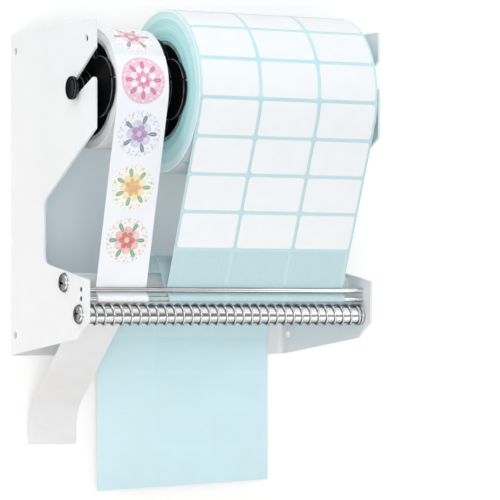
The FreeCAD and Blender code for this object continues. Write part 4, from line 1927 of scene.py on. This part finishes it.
class Route:
    """The way of a web round a chain of circles."""

    def __init__(self, circles: Sequence[Circle], lead: float) -> None:
        """Works out the runs.

        Args:
            circles: the circles in order; the last one is the end and has no radius.
            lead: how far the route lies on the first circle.
        """
        self.runs: list[Run] = []
        headings = [self.bearing(here, there) for here, there in zip(circles, circles[1:])]
        arriving = headings[0] - circles[0].turn * lead / circles[0].radius
        for number, (here, there, leaving) in enumerate(zip(circles, circles[1:], headings)):
            sweep = math.remainder(leaving - arriving, FULL_TURN)
            if number and sweep * here.turn < 0:
                sweep += here.turn * FULL_TURN
            on, off, far = here.at(arriving), here.at(leaving), there.at(leaving)
            self.runs.append(Run(*on, arriving, abs(sweep) * here.radius, here.turn / here.radius))
            self.runs.append(Run(*off, leaving, math.dist(off, far), 0.0))
            arriving = leaving
        self.length = sum(run.length for run in self.runs)

    def bearing(self, here: Circle, there: Circle) -> float:
        """Finds the heading of the straight run between two circles.

        Args:
            here: the circle that it leaves.
            there: the circle that it goes to.

        Returns:
            The heading.
        """
        run = math.hypot(there.depth - here.depth, there.height - here.height)
        bearing = math.atan2(there.height - here.height, there.depth - here.depth)
        return bearing - math.asin((there.turn * there.radius - here.turn * here.radius) / run)

    def place(self, x: float, distance: float, offset: float) -> Vector:
        """Finds a point beside the route.

        Args:
            x: its place across.
            distance: how far along the route it is.
            offset: how far to the left of the route it is.

        Returns:
            The point.
        """
        for run in self.runs[:-1]:
            if distance <= run.length:
                break
            distance -= run.length
        else:
            run = self.runs[-1]
        depth, height = run.at(distance, offset)
        return Vector((x, -depth, height))


@dataclass(frozen=True)
class Wave:
    """How the hanging end of a web curls and waves.

    Attributes:
        height: how strong it is.
        tail: the share of the web's length that takes part.
    """

    height: float = 0.0012
    tail: float = 0.2
    bow: float = 0.6
    ripple: float = 0.25
    rate: float = 2.4
    shift: float = 0.6

    def at(self, across: float, left: float) -> float:
        """Works out how far the web lies off its way.

        Args:
            across: the place across, from -1 to 1.
            left: the share of the web's length that is left.

        Returns:
            The distance off its way.
        """
        strength = self.height * max(0.0, 1.0 - left / self.tail) ** 2
        ripple = self.ripple * math.sin(self.rate * across + self.shift)
        return strength * (self.bow * across * across - ripple)


# ---- the rolls with their webs ----


def wrap(piece: Piece, place: Bend) -> None:
    """Bends a flat piece: x across, y along and z off its sheet are mapped by a rule.

    Args:
        piece: the flat piece.
        place: gives the point for x, distance and offset.
    """
    for vertex in piece.data.vertices:
        vertex.co = place(*vertex.co)
    piece.data.update()


def flat_map(piece: Piece, low: Pair, size: Pair) -> None:
    """Gives a flat piece its own map, from 0 to 1 over its width and length.

    Args:
        piece: the flat piece.
        low: its lowest x and y.
        size: its sizes along x and y.
    """
    layer = piece.data.uv_layers.get("Flat") or piece.data.uv_layers.new(name="Flat")
    for loop in piece.data.loops:
        place = piece.data.vertices[loop.vertex_index].co
        layer.data[loop.index].uv = ((place.x - low[0]) / size[0], (place.y - low[1]) / size[1])


@dataclass
class Sheeting:
    """One roll of paper: its winding, what is stuck on it, and the web that runs off it.

    Attributes:
        kind: the word that its names start with.
        body: the body of the roll.
        lead: how far the web lies on the roll before it leaves it.
        seed: what its uneven places are drawn from.
        lift: how far a sticker or a label lies off the middle of its liner.
        pitch: the least spacing along the liner.
        play: how far a sticker or a label is off its place at most.
        web_count: how many stickers or rows of labels are on the web.
        slant: how much longer the left edge of the web is than its middle.
        ease: how far the web's start is sunk into the roll.
        ease_length: the length over which it comes up, in leads.
        still: a height for the web at the rods; not used.
        bands: how many turns of paper can be told apart on the roll's sides.
        uneven: how far the edge of a band is off its place at most.
        ridge: how far a band is set in at most.
        across: the width of a face across the web.
        least: the fewest faces across the web.
    """

    kind: str
    body: str
    circles: tuple[Circle, ...]
    lead: float
    core_finish: CoreBoard
    winding_finish: WoundPaper
    liner_finish: LinerPaper
    seed: int
    pitch: float
    paper: float = 0.00015
    face: float = 0.00015
    lift: float = 0.00009
    play: float = 0.0002
    web_count: int = 4
    slant: float = 0.0
    ease: float = 0.0004
    ease_length: float = 1.4
    wave: Wave = Wave()
    still: float = -0.048
    bands: int = 22
    uneven: float = 0.0003
    ridge: float = 0.00032
    core_gap: float = 0.00005
    rim: float = 0.0003
    sides: int = 144
    step: float = 0.0022
    across: float = 0.008
    least: int = 8

    def __post_init__(self) -> None:
        """Works out the route and the box of the roll."""
        self.route = Route(self.circles, self.lead)
        self.roll = Span.of(self.kind + "_roll")
        self.dice = random.Random(self.seed)

    def place(self, x: float, distance: float, offset: float) -> Vector:
        """Finds a point on the web, which lies down on the roll and waves at its tail.

        Args:
            x: its place across.
            distance: how far along the web it is.
            offset: how far off the web it is.

        Returns:
            The point.
        """
        settle = max(0.0, 1.0 - distance / (self.ease_length * self.lead))
        across = (x - self.roll.centre.x) / (self.roll.width / 2)
        wave = self.wave.at(across, 1.0 - distance / self.route.length)
        return self.route.place(x, distance, offset - self.ease * settle * settle + wave)

    def side_of_roll(self, x: float, inward: int, radii: Sequence[float]) -> list[Ring]:
        """Draws a side of the roll, its bands set in unevenly.

        Args:
            x: the place of the side.
            inward: the direction along X that goes into the roll.
            radii: the edges of the bands.

        Returns:
            The rings, from the core out.
        """
        rings = []
        for low, high in zip(radii, radii[1:]):
            depth = inward * self.dice.uniform(0.0, self.ridge)
            rings += [Ring(x + depth, low), Ring(x + depth, high)]
        return rings

    def winding(self) -> None:
        """Turns the roll, its sides stepped like uneven turns of paper."""
        core = Span.of(self.kind + "_core").radius + self.core_gap
        low, high, radius = self.roll.low.x, self.roll.high.x, self.roll.radius
        reach = radius - self.rim - core
        inner = [core + reach * number / self.bands for number in range(1, self.bands)]
        inner = [one + self.dice.uniform(-self.uneven, self.uneven) for one in inner]
        radii = [core, *inner, radius - self.rim]
        left, right = self.side_of_roll(low, 1, radii), self.side_of_roll(high, -1, radii)
        rim = [Ring(low + self.rim, radius), Ring(high - self.rim, radius)]
        piece = BENCH.turned([*left, *rim, *reversed(right), left[0]], AXLE_LINE, self.sides)
        BENCH.settle(piece, self.kind + "_winding")
        BENCH.shade(piece)
        dress(piece, self.winding_finish)
        mount(piece, self.body, self.kind + "_winding", self.kind + "_roll")

    def flat_sheet(self) -> Piece:
        """Makes the flat sheet of the web, cut aslant at its end.

        Returns:
            The sheet, with its own map.
        """
        length = self.route.length + self.slant
        BENCH.clear()
        bpy.ops.mesh.primitive_grid_add(
            x_subdivisions=max(self.least, round(self.roll.width / self.across)),
            y_subdivisions=round(length / self.step),
            size=1.0, location=(self.roll.centre.x, length / 2, 0.0),
        )
        piece = bpy.context.object
        piece.scale = (self.roll.width, length, 1.0)
        BENCH.settle(piece, self.kind + "_liner_sheet")
        if self.slant:
            BENCH.edit(piece)
            end = (self.roll.centre.x, self.route.length, 0.0)
            aslant = (2 * self.slant / self.roll.width, 1.0, 0.0)
            bpy.ops.mesh.bisect(plane_co=end, plane_no=aslant, clear_outer=True)
            BENCH.leave()
        flat_map(piece, (self.roll.low.x, 0.0), (self.roll.width, self.route.length))
        return piece

    def web(self) -> Piece:
        """Bends the liner from the roll, round the rods and down to its end, in one sheet.

        Returns:
            The web.
        """
        piece = self.flat_sheet()
        wrap(piece, self.place)
        BENCH.apply(piece, "SOLIDIFY", thickness=self.paper, offset=0.0, use_even_offset=True)
        BENCH.edit(piece)
        BENCH.face_out()
        BENCH.shade(piece, PAPER_SMOOTH_ANGLE)
        dress(piece, self.liner_finish)
        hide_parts(self.kind + "_web", self.kind + "_liner")
        self.hang(piece)
        return piece

    def hang(self, piece: Piece) -> None:
        """Puts a sheet's place into its mesh and logs its faces.

        Args:
            piece: the web or what lies on it.
        """
        leave = self.route.place(0.0, self.lead, 0.0)
        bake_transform(piece)
        LOG.info("%s: %d faces, from root to axle", piece.name, len(piece.data.polygons))

    def on_roll(self, x: float, distance: float, offset: float) -> Vector:
        """Finds a point on the roll's outer turn.

        Args:
            x: its place across.
            distance: how far it is from where the web starts.
            offset: how far off the paper it is.

        Returns:
            The point.
        """
        heading = self.route.runs[0].heading
        radius = self.roll.radius
        rim = Circle(self.circles[0].depth, self.circles[0].height, radius, -1)
        depth, height = Run(*rim.at(heading), heading, FULL_TURN * radius, -1 / radius).at(distance, offset)
        return Vector((x, -depth, height))

    def gather(self, pieces: Sequence[Piece], name: str) -> Piece:
        """Joins bent stickers or labels into one piece and shades it.

        Args:
            pieces: the bent copies.
            name: the name of the piece.

        Returns:
            The joined piece.
        """
        piece = BENCH.join(pieces)
        BENCH.edit(piece)
        BENCH.face_out()
        BENCH.settle(piece, name)
        BENCH.shade(piece)
        return piece

    def lay(self, sheet: Piece) -> None:
        """Puts the stickers or labels on the roll and on the web.

        Args:
            sheet: the web; not used.
        """
        girth = FULL_TURN * self.roll.radius
        count = int(girth // self.pitch)
        spacing = girth / count
        piece = self.gather(self.copies(count, spacing, 0, self.on_roll), self.kind + "_faces_on_roll")
        mount(piece, self.body, self.kind + "_face", self.kind + "s_on_roll")
        copies = self.copies(self.web_count, spacing, count, self.place)
        piece = self.gather(copies, self.kind + "_faces_on_web")
        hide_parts(self.kind + "s_on_web")
        self.hang(piece)

    def thicken(self, half: float) -> None:
        """Cuts a flat shape across at even steps, so that it can be bent, and thickens it.

        Args:
            half: half its size along y.
        """
        count = max(1, math.ceil(2 * half / self.step))
        for number in range(1, count):
            y = -half + 2 * half * number / count
            bpy.ops.mesh.select_all(action="SELECT")
            bpy.ops.mesh.bisect(plane_co=(0.0, y, 0.0), plane_no=(0.0, 1.0, 0.0))
        bpy.ops.mesh.select_all(action="SELECT")
        bpy.ops.mesh.extrude_region_move(TRANSFORM_OT_translate={"value": (0.0, 0.0, self.face)})
        BENCH.close()

    def bent(self, model: Piece, x: float, y: float, place: Bend) -> Piece:
        """Copies a flat sticker or label to a place on its liner and bends it.

        Args:
            model: the flat model.
            x: its place across.
            y: its place along.
            place: the rule that bends it.

        Returns:
            The bent copy.
        """
        piece = BENCH.copy(model)
        piece.data.transform(Matrix.Translation((x, y, self.lift)))
        wrap(piece, place)
        return piece

    def copies(self, count: int, spacing: float, first: int, place: Bend) -> list[Piece]:
        """Copies and bends the stickers or labels of one stretch. Each kind has its own.

        Args:
            count: how many stickers or rows of labels.
            spacing: their spacing along the liner.
            first: 0 on the roll, else the number of those that went before.
            place: the rule that bends them.

        Returns:
            The bent copies.
        """
        raise NotImplementedError

    def build(self) -> None:
        """Models, finishes and mounts the whole roll."""
        dress(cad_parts[self.kind + "_core"], self.core_finish)
        self.winding()
        self.lay(self.web())


@dataclass
class StickerRoll(Sheeting):
    """The narrow roll of round printed stickers.

    Attributes:
        first_print: how far the prints on the roll are shifted.
    """

    radius: float = 0.01905
    round_steps: int = 72
    first_print: int = -6

    def model(self) -> Piece:
        """Makes one flat round sticker.

        Returns:
            The sticker, with its own map.
        """
        BENCH.clear()
        bpy.ops.mesh.primitive_circle_add(
            vertices=self.round_steps, radius=self.radius, fill_type="NGON", location=(0.0, 0.0, 0.0),
        )
        piece = bpy.context.object
        BENCH.edit(piece)
        self.thicken(self.radius)
        flat_map(piece, (-self.radius, -self.radius), (2 * self.radius, 2 * self.radius))
        return piece

    def copies(self, count: int, spacing: float, first: int, place: Bend) -> list[Piece]:
        """Copies and bends stickers in the order of their prints.

        Args:
            count: how many stickers.
            spacing: their spacing along the liner.
            first: 0 on the roll, else the number of stickers that went before.
            place: the rule that bends them.

        Returns:
            The bent copies.
        """
        model = self.model()
        prints = list(Print)
        made = []
        for number in range(count):
            x = self.roll.centre.x + self.dice.uniform(-self.play, self.play)
            piece = self.bent(model, x, (number + 0.5) * spacing, place)
            order = number + (1 if first else self.first_print)
            made.append(dress(piece, prints[order % len(prints)].value))
        bpy.data.objects.remove(model)
        return made


@dataclass
class LabelRoll(Sheeting):
    """The wide roll of blank labels in columns.

    Attributes:
        margin: the liner beside the outer labels.
    """

    play: float = 0.00012
    columns: int = 3
    label_width: float = 0.0508
    label_height: float = 0.029
    margin: float = 0.0023
    corner: float = 0.0025
    corner_steps: int = 6

    def model(self) -> Piece:
        """Makes one flat label with rounded corners.

        Returns:
            The label, finished.
        """
        BENCH.clear()
        bpy.ops.mesh.primitive_plane_add(size=1.0, location=(0.0, 0.0, 0.0))
        piece = bpy.context.object
        piece.scale = (self.label_width, self.label_height, 1.0)
        BENCH.settle(piece, "label_model")
        BENCH.edit(piece)
        bpy.ops.mesh.bevel(offset=self.corner, segments=self.corner_steps, affect="VERTICES")
        self.thicken(self.label_height / 2)
        return dress(piece, LABEL_PAPER)

    def copies(self, count: int, spacing: float, first: int, place: Bend) -> list[Piece]:
        """Copies and bends rows of labels.

        Args:
            count: how many rows.
            spacing: their spacing along the liner.
            first: 0 on the roll, else the number of rows that went before; not used.
            place: the rule that bends them.

        Returns:
            The bent copies.
        """
        model = self.model()
        pitch = (self.roll.width - 2 * self.margin - self.label_width) / (self.columns - 1)
        left = self.roll.low.x + self.margin + self.label_width / 2
        made = []
        for number in range(count):
            for column in range(self.columns):
                y = (number + 0.5) * spacing + self.dice.uniform(-self.play, self.play)
                made.append(self.bent(model, left + column * pitch, y, place))
        bpy.data.objects.remove(model)
        return made


RODS = (Circle(0.1408, -0.07951, 0.00255, 1), Circle(0.1408, -0.08681, 0.00255, -1))


def sticker_roll() -> StickerRoll:
    """Describes the roll of stickers, with its route and finishes.

    Returns:
        The roll.
    """
    return StickerRoll(
        kind="sticker", body="sticker_supply", lead=0.0386, pitch=0.0425, seed=11,
        circles=(
            Circle(0.130, 0.0805, 0.04875, -1), *RODS, Circle(0.138, -0.0992, 0.01005, 1),
            Circle(0.1195, -0.1415, 0.045, 1), Circle(0.0417, -0.1962, 0.035, 1),
            Circle(0.0067, -0.2075, 0.0, 1),
        ),
        core_finish=STICKER_CORE,
        winding_finish=WoundPaper(
            "sticker_winding_paper", AXLE_LINE, (0.92, 0.91, 0.90), (0.97, 0.965, 0.96),
            (0.84, 0.83, 0.82), (0.86, 0.865, 0.875), 0.040, 0.048,
        ),
        # The second colour, the tail, is painted shade: darker than the web.
        liner_finish=LinerPaper(
            "sticker_liner", (0.93, 0.91, 0.92), (0.82, 0.80, 0.792), (0.92, 0.92, 0.925),
            (0.0445, 0.3949), (0.0445, 0.04308), (0.0381, 0.0381), 0.05, round_mark=1.0,
        ),
    )


def label_roll() -> LabelRoll:
    """Describes the roll of labels, with its route and finishes.

    Returns:
        The roll.
    """
    return LabelRoll(
        kind="label", body="label_supply", lead=0.017, pitch=0.0315, seed=5, slant=0.0028,
        circles=(
            Circle(0.130, 0.0805, 0.06675, -1), *RODS, Circle(0.112, -0.0655, 0.014, 1),
            Circle(0.034, -0.1205, 0.025, 1), Circle(0.009, -0.2445, 0.0, 1),
        ),
        core_finish=LABEL_CORE,
        winding_finish=WoundPaper(
            "label_winding_paper", AXLE_LINE, (0.42, 0.93, 0.94), (0.90, 1.0, 1.0),
            (0.40, 0.86, 0.87), (0.60, 0.82, 0.86), 0.040, 0.064,
        ),
        # The second colour, the tail, is painted light: paler than the web.
        liner_finish=LinerPaper(
            "label_liner", (0.52, 0.69, 0.715), (0.68, 0.88, 0.92), (0.72, 0.91, 0.94),
            (0.163, 0.4786), (0.0538, 0.0319), (0.0508, 0.029), 0.22, (-0.0008, 0.0),
        ),
    )


# ---- studio ----


@dataclass(frozen=True)
class Backdrop:
    """A large pale plane, clear from behind, that glows to what sees it, white far out.

    Attributes:
        centre: its point nearest to the object.
        glow: the light that it adds where it is seen, near the object.
        near: the distance from its centre at which it starts to turn white.
        far: the distance at which it is white.
    """

    name: str
    place: Vector
    turn: float
    reach: float
    centre: Vector
    colour: Colour
    glow: float
    near: float
    far: float

    def material(self) -> bpy.types.Material:
        """Writes its material.

        Returns:
            The material.
        """
        made = bpy.data.materials.new(self.name + "_paint")
        tree = blank(made)
        path = tree.node("LightPath").outputs
        seen = tree.number("MAXIMUM", path["Is Camera Ray"], path["Is Glossy Ray"])
        seen = tree.number("MAXIMUM", seen, path["Is Transmission Ray"])
        away = tree.vector("DISTANCE", tree.place(), tuple(self.centre)).outputs["Value"]
        surface = tree.principled(
            Base_Color=self.colour, Roughness=0.9, Specular_IOR_Level=0.1, Emission_Color=WHITE,
            Emission_Strength=tree.times(seen, tree.between(away, self.near, self.far, self.glow)),
        )
        backface = tree.node("NewGeometry").outputs["Backfacing"]
        behind = tree.number("MAXIMUM", backface, path["Is Shadow Ray"])
        clear = tree.node("BsdfTransparent").outputs[0]
        mixed = tree.node("MixShader", {0: behind, 1: surface, 2: clear}).outputs[0]
        tree.node("OutputMaterial", {"Surface": mixed})
        return made

    def add(self) -> None:
        """Adds it to the stage."""
        BENCH.clear()
        turn = (self.turn, 0.0, 0.0)
        bpy.ops.mesh.primitive_plane_add(size=2 * self.reach, location=self.place, rotation=turn)
        piece = BENCH.settle(bpy.context.object, self.name)
        piece.data.materials.append(self.material())


@dataclass(frozen=True)
class Lamp:
    """A square soft lamp that looks at the middle of the object.

    Attributes:
        aim: the point that it looks at.
    """

    name: str
    place: tuple[float, float, float]
    size: float
    power: float
    tint: Colour = WHITE
    aim: tuple[float, float, float] = (0.0, -0.08, -0.02)

    def add(self) -> None:
        """Adds it to the scene."""
        BENCH.clear()
        bpy.ops.object.light_add(type="AREA", location=self.place)
        lamp = bpy.context.object
        lamp.name = self.name
        lamp.data.size = self.size
        lamp.data.energy = self.power
        lamp.data.color = self.tint
        away = Vector(self.place) - Vector(self.aim)
        lamp.rotation_euler = away.to_track_quat("Z", "Y").to_euler()


@dataclass
class Studio:
    """A white wall behind, a pale floor below, soft lamps and the camera.

    Attributes:
        sky: the light of the room on what isn't glossy.
        mirrored: the tones of the room in glossy surfaces by height, from 0 at the bottom to 1.
        aside: how far to the side, from 0 to 1, those tones start and end to fade.
        side_tone: what is left of them at the sides.
        camera_heading: where it looks, along X and Y.
    """

    wall_gap: float = 0.0006
    floor_drop: float = 0.02
    reach: float = 4.0
    floor_reach: float = 0.4
    lamps: tuple[Lamp, ...] = (
        Lamp("key", (-2.3, -0.9, 0.1), 1.2, 6.0, (1.0, 0.86, 0.79)),
        Lamp("front", (-1.0, -2.4, -0.28), 1.2, 24.5, (1.0, 1.0, 1.01)),
        Lamp("fill", (1.9, -1.9, 0.3), 1.6, 9.0),
        Lamp("over", (-1.0, -0.7, 2.1), 1.6, 17.0),
        Lamp("behind", (0.3, 2.4, 0.9), 1.6, 6.0),
    )
    sky: Colour = (0.445, 0.51, 0.545)
    mirrored: tuple[Pair, ...] = (
        (0.0, 0.3), (0.04, 1.1), (0.14, 1.1), (0.26, 0.6), (0.36, 0.25), (0.52, 0.24),
        (0.62, 0.65), (0.74, 1.15), (0.9, 1.15), (0.97, 0.75), (1.0, 0.25),
    )
    aside: Pair = (0.55, 0.85)
    side_tone: float = 0.3
    camera_place: tuple[float, float, float] = (-1.1394, -2.2882, -0.1005)
    camera_heading: Pair = (0.4756, 0.8796)
    camera_pitch: float = math.radians(1.26)
    lens: float = 216.0
    film: float = 36.0
    view_end: float = 100.0

    def stage(self) -> None:
        """Adds the wall and the floor."""
        floor = cad_box[0].z - self.floor_drop
        wall = Vector((0.0, self.wall_gap, floor + self.reach))
        below = Vector((0.0, 0.0, floor))
        Backdrop(
            "wall", wall, QUARTER_TURN, self.reach, centre=Vector(), colour=(0.87, 0.83, 0.81),
            glow=0.27, near=0.45, far=1.0,
        ).add()
        Backdrop(
            "floor", below, 0.0, self.floor_reach, centre=below, colour=(0.90, 0.84, 0.81),
            glow=0.32, near=0.2, far=0.38,
        ).add()

    def room(self) -> None:
        """Makes the world white to the camera and a plain room to everything else."""
        world = bpy.data.worlds.new("room")
        bpy.context.scene.world = world
        tree = blank(world)
        across, _, height = tree.split(tree.node("TexCoord").outputs["Generated"])
        ramp = tree.node("ValToRGB", {0: tree.between(height, -1.0, 1.0)})
        elements = ramp.color_ramp.elements
        while len(elements) < len(self.mirrored):
            elements.new(0.5)
        for element, (place, tone) in zip(elements, self.mirrored):
            element.position = place
            element.color = (tone, tone, tone, 1.0)
        sides = tree.between(tree.number("ABSOLUTE", across), *self.aside, 1.0, self.side_tone)
        path = tree.node("LightPath").outputs
        mirrored = tree.blend(sides, (0.0, 0.0, 0.0), ramp.outputs[0])
        colour = tree.blend(path["Is Glossy Ray"], self.sky, mirrored)
        seen = tree.number("MAXIMUM", path["Is Camera Ray"], path["Is Transmission Ray"])
        colour = tree.blend(seen, colour, WHITE)
        light = tree.node("Background", {"Color": colour, "Strength": 1.0}).outputs[0]
        tree.node("OutputWorld", {"Surface": light})

    def camera(self) -> None:
        """Adds the camera."""
        BENCH.clear()
        bpy.ops.object.camera_add(location=self.camera_place)
        camera = bpy.context.object
        camera.name = "camera"
        level = math.cos(self.camera_pitch)
        flat = [part * level for part in self.camera_heading]
        heading = Vector((*flat, math.sin(self.camera_pitch)))
        camera.rotation_euler = heading.to_track_quat("-Z", "Y").to_euler()
        camera.data.sensor_width = self.film
        camera.data.lens = self.lens
        camera.data.clip_end = self.view_end
        bpy.context.scene.camera = camera

    def build(self) -> None:
        """Sets the stage, the light, the camera and the view."""
        self.stage()
        for lamp in self.lamps:
            lamp.add()
        self.room()
        self.camera()
        bpy.context.scene.view_settings.view_transform = "Standard"


def main() -> None:
    """Builds the dispenser and its studio, piece by piece."""
    logging.basicConfig(level=logging.INFO, format="%(name)s: %(message)s")
    Studio().build()
    FoldedFrame().build()
    Crossbars().build()
    ScrewPairs().build()
    CoilSpring().build()
    Axle().build()
    Hubs().build()
    sticker_roll().build()
    label_roll().build()


if __name__ == "__main__":
    main()
